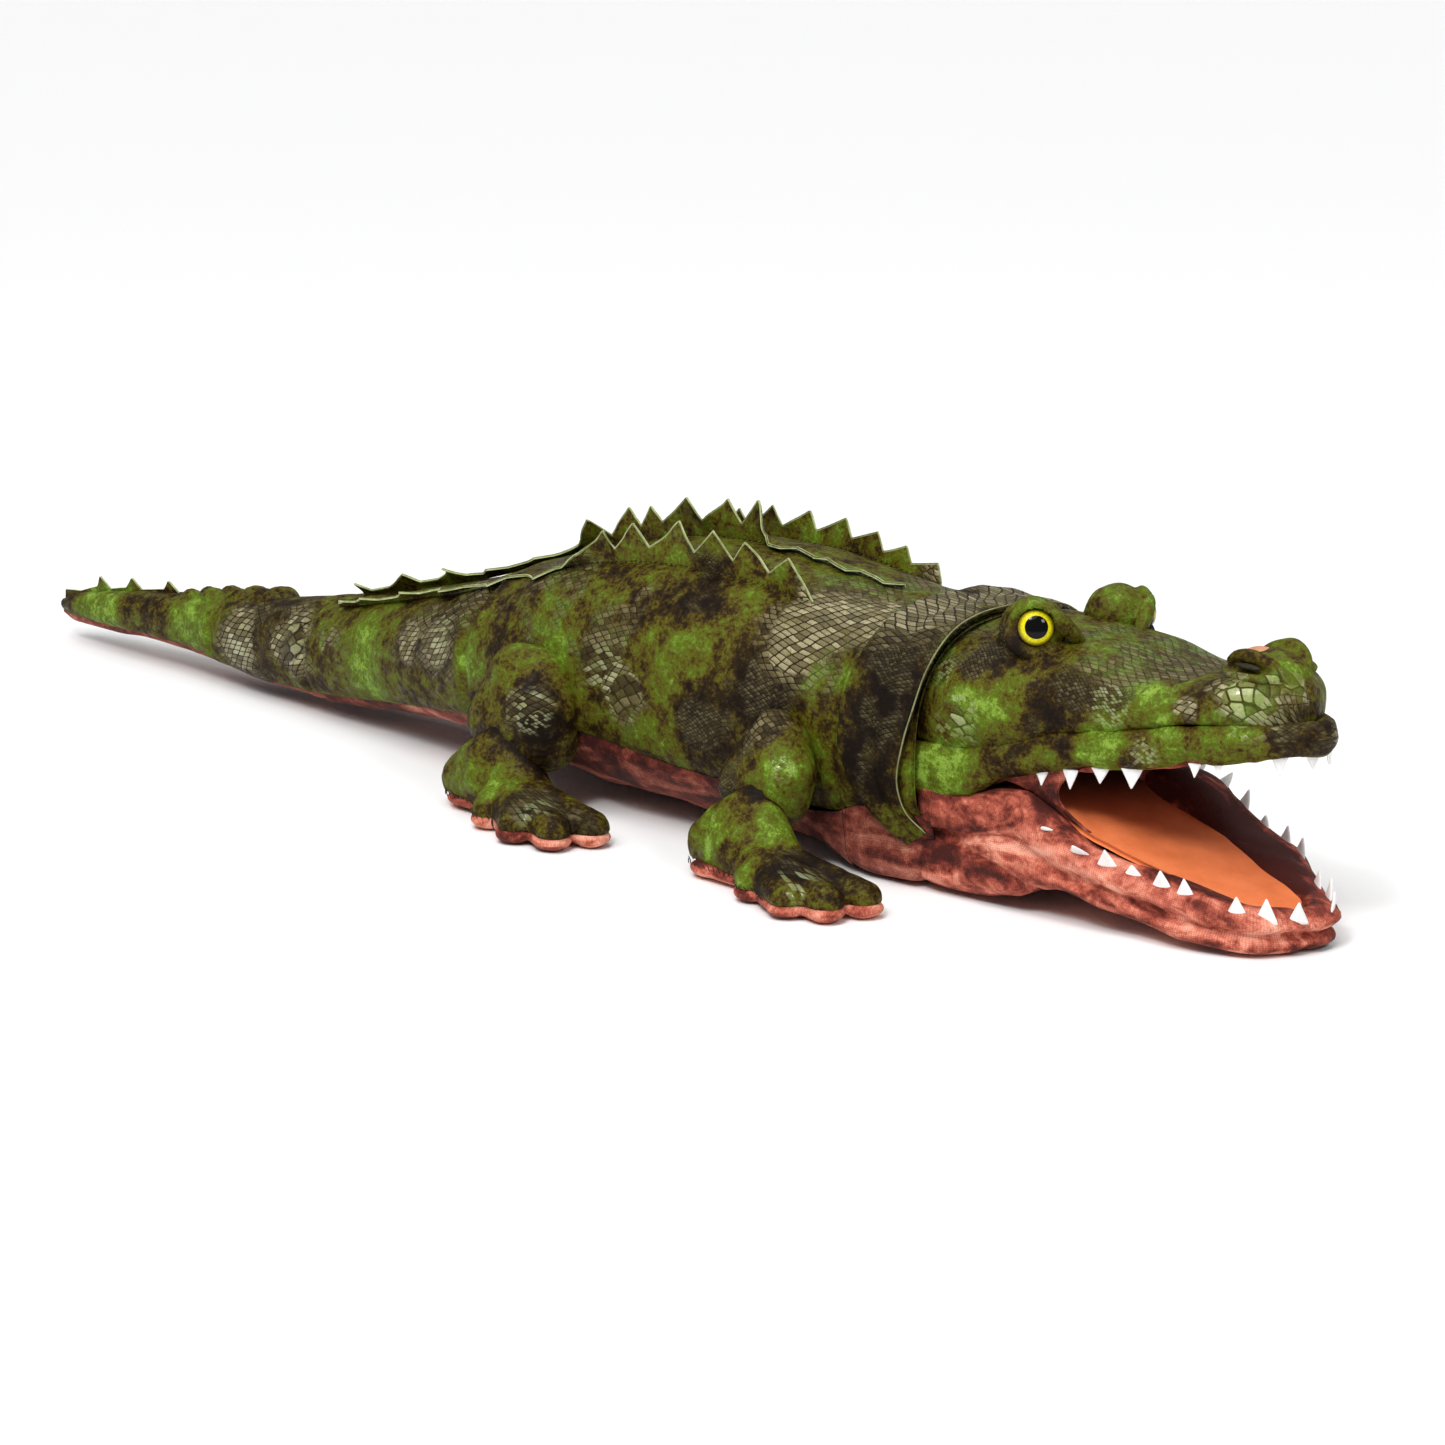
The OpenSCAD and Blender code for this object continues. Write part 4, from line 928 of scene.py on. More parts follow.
def ridge(name, rows, share, lean, nodes):
    """A strip of printed cloth with cut teeth, sewn upright in a seam of the back."""
    x = np.arange(rows[0][0], rows[-1][0] + 0.1, 0.9)
    height = teeth_height(rows, x)
    height = height * (1 + (0.028 * height - 0.38) * step(30, 0, x) * step(1, 5, height))
    width, top, bottom = TRUNK(x).T
    y = share * width
    angle = np.arccos(np.clip(np.abs(y / width), 0, 1) ** (TRUNK_E / 2))
    z = (top + bottom) / 2 + (top - bottom) / 2 * np.sin(angle) ** (2 / TRUNK_E)
    base = grid(x, y, z)
    tip = np.deg2rad(lean(x)) + np.deg2rad(9) * noise(grid(x, 40 * share, 0.0), 24, 5)
    out = grid(-0.22 - 0.5 * np.gradient(z, x), np.sin(tip), np.cos(tip))
    out /= np.linalg.norm(out, axis=1, keepdims=True)
    rows_up = np.append(np.linspace(0.0, 1.0, 11), 1.0)
    reach = rows_up[:, None] * (height[None, :] - 1.0) - 1.2
    reach[-1] += 1.0
    p = base[None] + out[None] * reach[..., None]
    p[..., 2] += 2.2 * np.abs(np.sin(tip)) * np.minimum(1, 4 * rows_up)[:, None]
    curl = (rows_up[:, None] ** 2) * height[None, :] * 0.16
    wave = noise(grid(x, 60 * share, 9.0), 15, 7)[None, :]
    p[..., 1] += curl * wave * 1.6
    p[..., 1] += 0.6 * noise(p, 8, 3) * rows_up[:, None]
    verts, faces = shell(p, 1.3)
    rim = np.zeros(len(faces), int)
    side_faces = (p.shape[0] - 1) * (p.shape[1] - 1)
    rim[2 * side_faces:] = 1
    for end in (side_faces, 2 * side_faces):
        rim[end - p.shape[1] + 1:end] = 1
    obj = make(
        name, (verts, faces), ["ridge", "edge"], "tail_base_bend", doubled(grid(x, reach + 90 * share)),
        nodes=nodes, rim=rim, weld=0,
    )
    sewn = (x > rows[0][0] + 3) & (x > -108)
    ways = np.tile([0.35, 1.0, 0.2], (sewn.sum(), 1))
    stitches(name + "_stitches", base[sewn] + (0, 0, 1.0), 4.2, 5.0, 0.35, ways, "torso")


def near_lean(side):
    def lean(x):
        return side * (78 + 36 * step(-112, -62, x) - 112 * step(14, 48, x) + 12 * step(150, 215, x))
    return lean


def center_lean(x):
    return -52 - 40 * step(-135, -95, x) + 86 * step(-34, 22, x) - 85 * step(131, 146, x)


ridge("ridge_center", CENTER, 0.0, center_lean, ("ridge_center", "tail_ridge_center"))
ridge("ridge_right", SIDE, -0.56, near_lean(-1), ("ridge_right", "tail_ridge_right"))
ridge("ridge_left", LEFT, 0.56, near_lean(1), ("ridge_left", "tail_ridge_left"))

SPIKES = [
    (-539, 1), (-537, 6), (-522, 2), (-502, 4), (-496, 11), (-488, 2), (-470, 3), (-461, 10), (-454, 2), (-428, 3),
    (-421, 9), (-414, 1),
]
x = np.arange(-539, -414, 0.8)
height = teeth_height(SPIKES, x)
top = TRUNK(x)[:, 1]
base = grid(x, 0.0, top - 3.0)
height = height + 2.0
out = np.array([-0.30, -0.10, 0.95])
rows_up = np.linspace(0, 1, 7)[:, None]
p = base[None] + out * (rows_up * height)[..., None]
p[..., 1] += 0.7 * noise(p, 11, 3) * rows_up
verts, faces = shell(p, 1.6)
rim = np.zeros(len(faces), int)
rim[2 * (p.shape[0] - 1) * (p.shape[1] - 1):] = 1
spikes = make(
    "tail_spikes", (verts, faces), ["ridge", "edge"], "tail_end", doubled(grid(x, rows_up * height)),
    nodes=("tail_spikes",), rim=rim, weld=0,
)

parts = []
for k, (x, r) in enumerate([(-392, 10), (-368, 12), (-343, 13), (-316, 14)]):
    for y in (-6, 7):
        v, f = ball((x + 2 * (y > 0), y, TRUNK(x)[0, 1] - 2.5), (r * 1.05, r * 0.62, r * 0.62), 16)
        w = np.arctan2(v[:, 1] - y, v[:, 0] - x)
        v[:, 2] += 0.8 * np.cos(6 * w + k) * step(0, 6, v[:, 2] - TRUNK(x)[0, 1] + 2)
        parts.append((v, f))
verts, faces = sculpted("tail_puffs", parts, 1.3, 3)
verts = raised(verts, faces, 0.5 * noise(verts, 7, 2))
make("tail_puffs", (verts, faces), "print", "tail_middle", nodes=("tail_puffs",))


# ---------------------------------------------------------------- head
HEAD = smooth_table([
    (306, 63, 141, 77), (322, 66.5, 146, 78), (336, 68, 148.5, 80), (350, 67, 149, 82), (375, 64, 149, 89),
    (406, 57, 146, 98), (440, 49, 140, 105.5), (458, 44, 138, 110), (476, 42, 141, 114), (492, 38.5, 145, 116),
    (503, 34, 146, 116.5), (512, 28.5, 145, 116), (519, 22, 143, 115.5), (524, 13, 139, 115), (527.5, 0.4, 133, 115),
])
HEAD_E = 2.4
# Rises and hollows of the head on each side: centre, radius and height.
HEAD_BUMPS = [
    ((352, 58, 118), (16, 20, 18), 2.6), ((392, 48, 122), (10, 16, 22), -2.6), ((502, 28, 138), (18, 16, 14), 2.2),
    ((470, 36, 128), (9, 14, 16), -1.6), ((455, 40, 122), (8, 16, 22), 1.2),
]


def head_skin():
    x = np.concatenate([np.linspace(306, 502, 78), np.linspace(504, 520, 12), np.linspace(521, 527.5, 13)])
    width, top, seam = HEAD(x).T
    base = seam - 0.25 * (top - seam)
    low = angle_at(seam, top, base, HEAD_E)[:, None]
    t = np.linspace(0, 1, 96)[None, :]
    angle = low + (math.pi - 2 * low) * t
    p = section(x, angle, width, top, base, HEAD_E)
    v = arc_length(p)
    rise = 1.4 * noise(p, 44, 6) + 0.8 * noise(p, 17, 8)
    edge = np.minimum(v - v[:, :1], v[:, -1:] - v)
    rise -= 3.4 * bell(edge, 3.6)
    rise = rise * step(528, 512, x)[:, None]
    for side in (-1, 1):
        for (bx, by, bz), radius, height in HEAD_BUMPS:
            rise += bump(p, (bx, side * by, bz), radius, height)
    rise -= 1.8 * bell(p[..., 1], 2.4) * step(502, 514, p[..., 0])
    p = pushed(p, rise)
    u = np.concatenate([np.zeros((1, 96)), np.cumsum(np.linalg.norm(np.diff(p, axis=0), axis=-1), axis=0)])
    return p, grid(u + 306, v)


p, cloth = head_skin()
make(
    "head_skin", shell(p, SKIN_THICK), "print", "head", doubled(cloth), ("head_skin", "head_foam"),
)

LIP_LINE = [
    (300, -64), (318, -61.5), (345, -60), (372, -57), (409, -51), (443, -44), (477, -37), (500, -31.5),
    (515, -22.5), (525, -13), (531, -5), (532.5, 0),
]
LIP = smooth_table([
    (300, 69, 15, 6), (325, 70, 14, 6.5), (345, 73.5, 12.5, 7), (362, 80.5, 11, 7), (380, 87, 10, 7),
    (431, 97.5, 10, 7), (464, 104, 10.5, 7), (500, 110, 10, 7), (518, 112, 9, 7.5), (533, 113, 8.5, 8),
])


def lip_half(x):
    """Half width between the lips at x."""
    return np.interp(x, [q[0] for q in LIP_LINE], [-q[1] for q in LIP_LINE])


def palate_z(x):
    return HINGE_Z + PALATE_RISE * (x - HINGE_X)


def plate_z(x):
    return HINGE_Z - PLATE_FALL * (x - HINGE_X)


def upper_lip():
    line = LIP_LINE + [(x, -y) for x, y in LIP_LINE[-2::-1]]
    path = even(curve_through([(x, y, 0) for x, y in line], 900), 340)
    cz, hh, ht = LIP(path[:, 0]).T
    path[:, 2] = cz
    gone = travelled(path)
    sides = 44
    verts, faces = tube(path, grid(ht, hh), sides)
    ring = verts[: len(path) * sides].reshape(len(path), sides, 3)
    up = (ring[..., 2] - cz[:, None]) / hh[:, None]
    scallop = np.sin(gone / 8.6 + 1.2 * np.sin(gone / 41)) + 0.5 * np.sin(gone / 4.9 + 2)
    ring[..., 2] += (scallop[:, None] * 0.9 - 0.3) * step(0.1, -1, up)
    rise = 1.1 * noise(ring, 13, 4) + 0.6 * noise(ring, 6.5, 5)
    rise -= 0.9 * bell(up - 0.15, 0.22) * step(-0.3, 0.6, noise(ring * (1, 1, 0.2), 22, 6))
    ring = pushed(ring, rise, wrap=True)
    a = np.linspace(0, 2 * math.pi, sides, endpoint=False)
    cloth = np.concatenate([grid(gone[:, None], a * 9).reshape(-1, 2), [[0, 0], [gone[-1], 0]]])
    return (np.concatenate([ring.reshape(-1, 3), verts[-2:]]), faces), cloth


shape, cloth = upper_lip()
make("upper_lip", shape, "print", "head", cloth, ("upper_lip",))

# roof of the mouth
x = np.linspace(345, 526, 62)[:, None]
half = np.maximum(lip_half(x) - 3, 4)
t = np.linspace(-1, 1, 41)
p = grid(x, -half * t, palate_z(x) + 4.0 * (1 - t**2))
p[..., 2] += 1.0 * noise(p, 16, 2) + 0.5 * noise(p, 7, 3)
# the roof of the mouth takes the darker salmon velour: painted shade inside the mouth
make(
    "palate", shell(p[:, ::-1], 2.0), "salmon_dark", "head", doubled(p[:, ::-1, :2]),
    ("palate_board",),
)

gum = [(x, (abs(y) - 7.5) * k, 0) for k, rows in ((-1, LIP_LINE[2:]), (1, LIP_LINE[-2:1:-1])) for x, y in rows]
gum = np.array(gum)
gum[:, 0] -= 7.5 * step(500, 530, gum[:, 0])
gum = even(curve_through(gum, 700), 240)
cz, hh, ht = LIP(gum[:, 0] + 7).T
gum[:, 2] = cz - hh + 1.2 + 0.9 * noise(gum, 15, 2) + 1.6 * step(455, 500, gum[:, 0])
verts, faces = tube(gum, np.tile([4.4, 5.2], (len(gum), 1)), 18)
verts = raised(verts, faces, 0.6 * noise(verts, 8, 3))
# the gum takes the darker salmon velour: painted shade inside the mouth
make("upper_gum", (verts, faces), "salmon_dark", "head", verts[:, :2])

# ---------------------------------------------------------------- lower jaw
JAW_LINE = [
    (300, -57), (316, -58), (332, -58), (354, -58), (398, -57.5), (436, -53.5), (472, -48.5), (503, -42.5),
    (519, -35), (529, -20), (532, -12), (533, 0),
]
ROLL_NEAR = smooth_table([
    (300, 66), (318, 65), (345, 63), (362, 66), (378, 67), (393, 61), (408, 52), (430, 44), (460, 37.5), (500, 29),
    (520, 25.5), (541, 22),
])
ROLL_FAR = smooth_table([
    (300, 66), (318, 65), (345, 64), (365, 67), (400, 67), (418, 64), (432, 57), (446, 49), (460, 43), (480, 37),
    (500, 31), (541, 22),
])
GROOVE = smooth_table([
    (300, 31), (316, 33), (342, 37), (377, 43), (394, 37), (412, 29), (441, 24), (473, 19), (503, 14), (541, 11),
])
JAW_BOTTOM = smooth_table([
    (300, 5), (330, 3), (356, 4), (378, 9), (396, 15), (412, 16.5), (430, 12.5), (450, 9), (475, 6), (500, 3.5),
    (520, 1.5), (541, 0.6),
])
PLATE = smooth_table([
    (346, 36), (358, 38), (386, 42), (426, 46), (452, 43), (475, 36), (499, 27), (515, 18), (523, 10), (527, 0.5),
])


def plate_half(x, y):
    """Half width of the mouth plate, which is narrower on the left side."""
    return PLATE(x)[:, 0] * (1 - 0.42 * step(0, 6, y) * step(362, 400, x))


def left_share(x):
    """The jaw's left front corner is drawn in; this is its width over that of the right one."""
    return 1 - 0.52 * float(step(475, 528, x))


def jaw_rings():
    far = [(x, -y * left_share(x)) for x, y in JAW_LINE[-2::-1]]
    path = even(curve_through([(x, y, 0) for x, y in JAW_LINE + far], 900), 300)
    x, y = path[:, 0], path[:, 1]
    along = np.gradient(path[:, :2], axis=0)
    along /= np.linalg.norm(along, axis=1, keepdims=True)
    out = np.stack([along[:, 1], -along[:, 0]], axis=1)
    left = step(-4, 4, y)
    top = ROLL_NEAR(x)[:, 0] * (1 - left) + ROLL_FAR(x)[:, 0] * left
    groove = np.minimum(GROOVE(x)[:, 0], top - 9)
    low = JAW_BOTTOM(x)[:, 0]
    inner_x = np.clip(x - 6 * step(500, 530, x), 300, 526.5)
    half = plate_half(np.maximum(inner_x, 346), y)
    inner_y = np.sign(y) * np.minimum(half, np.abs(y) - 7)
    inner_y = np.where(np.abs(y) < 7, y * 0.3, inner_y)
    inner = grid(inner_x, inner_y)
    floor_in = plate_z(np.maximum(inner_x, HINGE_X)) + 1.5
    floor_in = np.where(left > 0.5, floor_in, np.minimum(floor_in, top - 1.5))
    top = np.where(left > 0.5, np.maximum(top, floor_in + 3), top)
    floor_in = np.where(inner_x < HINGE_X, np.minimum(64, top - 1), floor_in)
    rows = []
    # inside the mouth, as a share of the way from the plate to the roll, and a height
    for share, z in (
        (-0.06, floor_in - 3.5), (0.0, floor_in),
        (0.30 - 0.08 * left, floor_in + (0.45 + 0.20 * left) * (top - floor_in)),
        (0.68 - 0.06 * left, floor_in + (0.86 + 0.16 * left) * (top - floor_in)),
    ):
        xy = inner + (path[:, :2] - out - inner) * np.broadcast_to(share, x.shape)[:, None]
        rows.append(np.column_stack([xy, z]))
    # outside it, as a distance out from the line and a height
    tuck = step(318, 300, x)
    for reach, z in (
        (-1.0, top), (4.6, top - 2.4), (8.2, top - 7.0), (9.6, (top + groove) / 2 - 1), (8.0, groove + 3.0),
        (4.2, groove), (7.6, groove - 3.4 * np.clip((groove - low) / 12, 0.3, 1)), (8.2, low + 0.42 * (groove - low)),
        (6.6, low + 0.18 * (groove - low) + 0.6), (2.0, low + 0.3),
    ):
        xy = path[:, :2] + out * (reach * (1 - tuck) + 1.0 * tuck)[:, None]
        rows.append(np.column_stack([xy, z + 2 * tuck * step(40, 10, z)]))
    # and under it to the middle
    spine = grid(np.minimum(x, 488), 0.0)
    edge = path[:, :2] + out * 2.0
    for share in (0.25, 0.5, 0.75, 1.0):
        rows.append(np.column_stack([edge + (spine - edge) * share, low + 0.2]))
    return np.stack([curve_through(c, 74) for c in np.stack(rows, axis=1)]), path


rings, jaw_path = jaw_rings()
n = grid_normals(rings)
inward = (n[:, 20] * (rings[:, 20] - (430, 0, 30))).sum(axis=-1).mean() < 0
n = -n if inward else n
drawn = rings * (0.45, 0.6, 1.0)
rise = 1.6 * noise(rings, 30, 3) + 1.5 * noise(drawn, 11, 4) + 0.7 * noise(drawn, 5, 5)
rise = rise * step(1.5, 6.0, rings[..., 2]) * step(0, 5, np.arange(74))[None, :]
ripple = np.sin(rings[..., 0] / 5.3 + 1.5 * np.sin(rings[..., 0] / 19)) * step(300, 330, rings[..., 0])
ripple = ripple * bell(rings[..., 2] - GROOVE(rings[..., 0].ravel())[:, 0].reshape(rings.shape[:2]), 6)
rise = rise + 0.5 * ripple - 1.6 * bell(rings[..., 1] + 12, 4.0) * step(520, 530, rings[..., 0])
fold = np.interp(rings[..., 0], [300, 318, 340, 370, 396, 410], [36, 35, 34, 25, 13, 4])
under = step(fold + 2, fold - 2, rings[..., 2]) * step(412, 400, rings[..., 0]) * step(20, 30, np.abs(rings[..., 1]))
crease = bell(rings[..., 2] - fold, 2.2) * step(412, 396, rings[..., 0])
rise = rise - 2.6 * crease * step(20, 40, np.abs(rings[..., 1])) - 1.0 * under
rings = rings + n * rise[..., None]
rings[..., 2] = np.maximum(rings[..., 2], 0.3)
column = np.linspace(0, 17, 74)[None, :] + 0 * rings[..., 0]
shadow = 0.20 * under + 0.30 * bell(column - 9, 0.7) + 0.28 * step(4.2, 2.8, column)
shadow = shadow + 0.34 * step(10, -10, -rings[..., 1]) + 0.35 * step(13.5, 14.5, column)
cloth = grid(travelled(jaw_path)[:, None], arc_length(rings))
if inward:
    rings, cloth, shadow = rings[:, ::-1], cloth[:, ::-1], shadow[:, ::-1]
make(
    "jaw_skin", shell(rings, SKIN_THICK), "salmon", "mouth", doubled(cloth),
    ("jaw_skin", "jaw_foam", "lower_lip"), shadow=doubled(shadow[..., None]), weld=0.3,
)

x = np.concatenate([np.linspace(347, 500, 60), np.linspace(502, 526.5, 18)])
half, left_half = (plate_half(x, y + 0 * x)[:, None] + 3.5 for y in (-9, 9))
t = np.linspace(-1, 1, 45)
p = grid(x[:, None], np.where(t > 0, left_half, half) * t, (plate_z(x) + 0.6)[:, None] + 1.6 * np.abs(t) ** 3)
p[..., 2] += 0.9 * noise(p, 24, 2) + 0.35 * noise(p, 9, 3)
p = p[:, ::-1]
make(
    "mouth_plate", shell(p, 2.4), "orange", "lower_jaw", doubled(p[..., :2]), ("mouth_plate",),
    shadow=doubled(0.92 * step(430, 372, p[..., :1] - 0.3 * p[..., 1:2])),
)

for label, side in SIDES:
    x = np.linspace(348, 420, 30)
    low_z, high_z = plate_z(x) + 2, palate_z(x) + 3
    inner, outer = plate_half(x, 9.0 * side + 0 * x) + 1, lip_half(x) - 5
    t = np.linspace(0, 1, 16)[:, None]
    bow = np.sin(math.pi * t)
    y = inner + (outer - inner) * t + 6 * bow
    p = grid(x - 16 * step(372, 422, x) * bow * 1.2, side * y, low_z + (high_z - low_z) * t)
    p[..., 1] += 1.0 * noise(p, 12, 2)
    p = p if side > 0 else p[:, ::-1]
    # the cheek webs take the darker salmon velour: painted shade inside the mouth
    make("cheek_web_" + label, shell(p, 1.8), "salmon_dark", "cheek", doubled(p[..., ::2]))


# ---------------------------------------------------------------- collar
COLLAR_FRONT = [
    (316, 0, 150.5), (317, -25, 149.5), (320, -50, 143), (320, -68.5, 126), (316, -75.5, 104), (311, -78, 84),
    (307, -77.5, 62), (309, -72, 45), (318, -66, 34),
]
COLLAR_REAR = [
    (276, 0, 150), (276, -25, 149.5), (277, -52, 143.5), (275, -74, 124.5), (271, -81, 103), (271, -84, 80),
    (281, -82, 56), (296, -75, 38), (309, -68, 28),
]


COLLAR_ROWS = 44


def collar():
    def full(rows):
        rows = [(x, y, z) for x, y, z in rows[:0:-1]] + [(x, -y, z) for x, y, z in rows]
        return even(curve_through(rows, 700), 220)

    front, rear = full(COLLAR_FRONT), full(COLLAR_REAR)
    centre = np.array([0, 0, 84.0])
    # from the rear seam to the front edge: share of the way, height over it and distance forward
    share, lift, forward = (np.interp(np.linspace(0, 12, COLLAR_ROWS), np.arange(13), k) for k in (
        (0, 0, 0.04, 0.14, 0.28, 0.42, 0.50, 0.58, 0.72, 0.86, 0.95, 1.0, 1.0),
        (-3.2, 0.4, 2.6, 2.8, 2.0, 1.0, 0.2, 0.9, 1.4, 1.2, 0.6, -1.0, -3.0),
        (0.6, -1.0, -1.2, 0, 0, 0, 0, 0, 0, 0, 1.2, 1.0, -0.5),
    ))
    out = (front + rear) / 2 - centre
    out[:, 0] = 0
    out /= np.linalg.norm(out, axis=1, keepdims=True)
    p = rear[None] + (front - rear)[None] * share[:, None, None] + out[None] * lift[:, None, None]
    p[..., 0] += forward[:, None]
    p = p + out[None] * (0.9 * noise(p, 20, 3) + 0.5 * noise(p, 9, 4))[..., None]
    return p


p = collar()
cloth = grid(np.arange(COLLAR_ROWS)[:, None] * 1.3 + 277, arc_length(p))
if grid_normals(p)[22, 110, 2] < 0:
    p, cloth = p[:, ::-1], cloth[:, ::-1]
band = make("collar", shell(p, 1.8), "print_dark", "head_nod", doubled(cloth), nodes=("collar",))
front = [(x + 0.4, y * k, z) for k, rows in ((-1, COLLAR_FRONT[:0:-1]), (1, COLLAR_FRONT)) for x, y, z in rows]
front = even(curve_through(front, 600), 260)
front[:, 2] += 0.5 * noise(front, 20, 3)
welt = tube(front, np.full(len(front), 0.45), 8, flat=(0.1, 0.3, 0.95))
make("collar_welt", welt, "welt", "head_nod", weld=0)


# ---------------------------------------------------------------- eyes
EYE_R = 19.0
SEAT_R, SEAT = 10.2, 13.2
UP, OUT = math.radians(13), math.radians(45)
LOOK = np.array([math.cos(UP) * math.cos(OUT), math.cos(UP) * math.sin(OUT), math.sin(UP)])
LID = curve_through([
    (-14, -1, 7, 1.8), (-12.6, 4.5, 10.5, 2.8), (-8.0, 9.6, 13.4, 3.6), (0.5, 11.4, 15.6, 4.4), (8.0, 7.0, 17.0, 5.6),
    (14.6, 1.8, 14.6, 6.0), (21.5, -5, 9.5, 4.8), (28, -10.5, 3, 2.0),
], 34)
BAG = curve_through([
    (-14, 2, 8.5, 2.0), (-13.2, -5.5, 10, 3.6), (-7.2, -12, 11, 4.4), (2, -14.4, 11.2, 4.6), (11.5, -13.2, 9.5, 4.0),
    (19.5, -11.5, 6, 3.0), (28, -12, 2, 1.6),
], 30)
DOME = np.linspace(0.08, 1.5, 14)
for label, side in SIDES:
    centre = np.array([368.0, side * 36, 150.0 - 1.5 * side])
    c = LOOK * (1, side, 1)
    a = np.cross((0, 0, 1), c)
    a /= np.linalg.norm(a)
    b = np.cross(c, a)
    b = b if b[2] > 0 else -b
    a = a if a[0] > 0 else -a
    axes = np.stack([a, b, c])

    def place(points):
        return np.asarray(points, float) @ axes + centre

    parts = [ball(centre - c * 2.0, (EYE_R - 0.5, EYE_R - 0.5, EYE_R - 2.0), 22)]
    parts.append(ball(centre + (-6, -side * 6, -14), (24, 18, 16), 18))
    lid = LID * (1, 0.86, 0.90, 0.74) if side > 0 else LID
    parts.append(tube(place(lid[:, :3]), grid(lid[:, 3] * 0.80, lid[:, 3]), 14, flat=c))
    parts.append(tube(place(BAG[:, :3]), BAG[:, 3], 12, flat=c))
    verts, faces = sculpted("eye_mound_" + label, parts, 1.0, 5)
    local = (verts - centre) @ axes.T
    over_seat = np.hypot(local[:, 0], local[:, 1]) < SEAT_R
    verts = raised(verts, faces, 0.45 * noise(verts, 6, 2) + 0.5 * noise(verts, 13, 3))
    local = (verts - centre) @ axes.T
    local[:, 2] = np.where(over_seat, np.minimum(local[:, 2], SEAT), local[:, 2])
    verts = local @ axes + centre
    cloth = wrapped(verts, centre, c, (0, 0, 1), EYE_R) + (500, 60 * side)
    make(
        "eye_mound_" + label, (verts, faces), "print", "head", cloth,
        ("eye_mound_" + label, "eyelid_" + label),
    )

    out = np.concatenate([[-3.0, -1.4, 0.0, 0.4], 0.4 + 5.2 * np.sin(DOME)])
    radii = np.concatenate([[9.0, 9.8, 10.2, 10.15], 10.1 * np.cos(DOME)])
    verts, faces = tube(place(grid(0.0, 0.0, 13.6 + out)), radii, 56, flat=b)
    local = (verts - centre) @ axes.T
    make("eye_" + label, (verts, faces), "eye", "head", local[:, :2], nodes=("eye_" + label,), weld=0)


# ---------------------------------------------------------------- nose
parts = [ball((499, 0, 138), (25, 23, 17.0), 24), ball((511, 0, 133), (13, 19, 12), 18)]
for side in (-1, 1):
    hood = curve_through([
        (482, side * 12, 148, 2.0), (490, side * 15.5, 152, 3.6), (501, side * 17, 153.5, 4.4),
        (510, side * 15, 151, 3.8), (517, side * 11, 146, 2.2),
    ], 24)
    parts.append(tube(hood[:, :3], hood[:, 3], 14))
    under = curve_through([
        (482, side * 17, 145, 1.6), (489, side * 23.5, 144.5, 2.2), (500, side * 26, 144.5, 2.5),
        (510, side * 22, 144, 2.3), (517, side * 15, 145, 1.6),
    ], 22)
    parts.append(tube(under[:, :3], under[:, 3], 12))
verts, faces = sculpted("nose_pad", parts, 1.2, 4)
verts = raised(verts, faces, 0.5 * noise(verts, 9, 2) + 0.7 * noise(verts, 20, 3))
for side in (-1, 1):
    d = (verts - (501, side * 21.0, 149.0)) / (9.0, 4.0, 3.2)
    verts = verts - np.array([0, side * 3.0, 1.0]) * np.exp(-(d * d).sum(axis=1))[:, None]
cloth = grid(verts[:, 0], verts[:, 1] + 0.6 * verts[:, 2])
make("nose_pad", (verts, faces), "print", "head", cloth, ("nose_pad",))
top = float(verts[np.argmin(np.hypot(verts[:, 0] - 493, verts[:, 1]) + 9 * (verts[:, 2] < 140)), 2])
verts, faces = ball((493, 0, 0), (8.6, 6.4, 1.2), 14)
verts[:, 2] += top + 0.1 - 0.02 * (verts[:, 0] - 493) ** 2 - 0.022 * verts[:, 1] ** 2
make("nose_spot", (verts, faces), "spot", "head", verts[:, :2])
for label, side in SIDES:
    verts, faces = ball((501, side * 20.6, 149.0), (8.0, 2.2, 1.6), 14)
    name = "nostril_" + label
    make(name, (verts, faces), "thread", "head", verts[:, :2], (name,))


# ---------------------------------------------------------------- teeth
def tooth(foot, turn, tilt, tall, down, wide=12.5):
    """A felt tooth, puffed a little between its two faces."""
    t = np.array([0, 0.04, 0.2, 0.4, 0.6, 0.8, 0.94, 1.0])
    w = wide / 2 * np.array([0.96, 1.0, 0.86, 0.67, 0.47, 0.27, 0.13, 0.06])
    thick = np.array([0.8, 1.0, 1.05, 1.05, 1.0, 0.9, 0.7, 0.4])
    way = np.array([0, math.sin(math.radians(tilt)), math.cos(math.radians(tilt)) * (-1 if down else 1)])
    path = way * (t * tall)[:, None]
    path[:, 1] += 0.5 * np.sin(t * math.pi)
    verts, faces = tube(path, grid(w, thick), 16, flat=(0, 1, 0))
    r = math.radians(turn)
    spin = np.array([[math.cos(r), -math.sin(r), 0], [math.sin(r), math.cos(r), 0], [0, 0, 1]])
    return verts @ spin.T + foot, faces


# Teeth: x, y, turn and height, then the width of an upper tooth or the outward lean of a lower one.
UPPER_TEETH = [
    (391, -54.5, 20, 8, 7.5), (408, -51, 22, 11, 9), (426, -48, 20, 8.5, 10), (445, -45, 22, 12, 13),
    (481, -37.5, 22, 7.5, 7), (494, -34.5, 22, 7, 6),
]
FRONT_TEETH = [(522, -18.5, 50, 10, 9), (531, -2, 80, 8.5, 12), (530, 13, 110, 9, 8)]
LOWER_TEETH = [
    (402, -60, 12, 8, 66), (422, -58.5, 12, 9, 54), (439, -56, 18, 10, 24), (455, -54, 16, 6.5, 16),
    (472, -51, 18, 10, 14), (486, -48.5, 18, 11, 14), (515, -42, 26, 11, 12), (528, -34, 34, 13, 10),
    (537, -19, 60, 11, 6),
]
parts = []
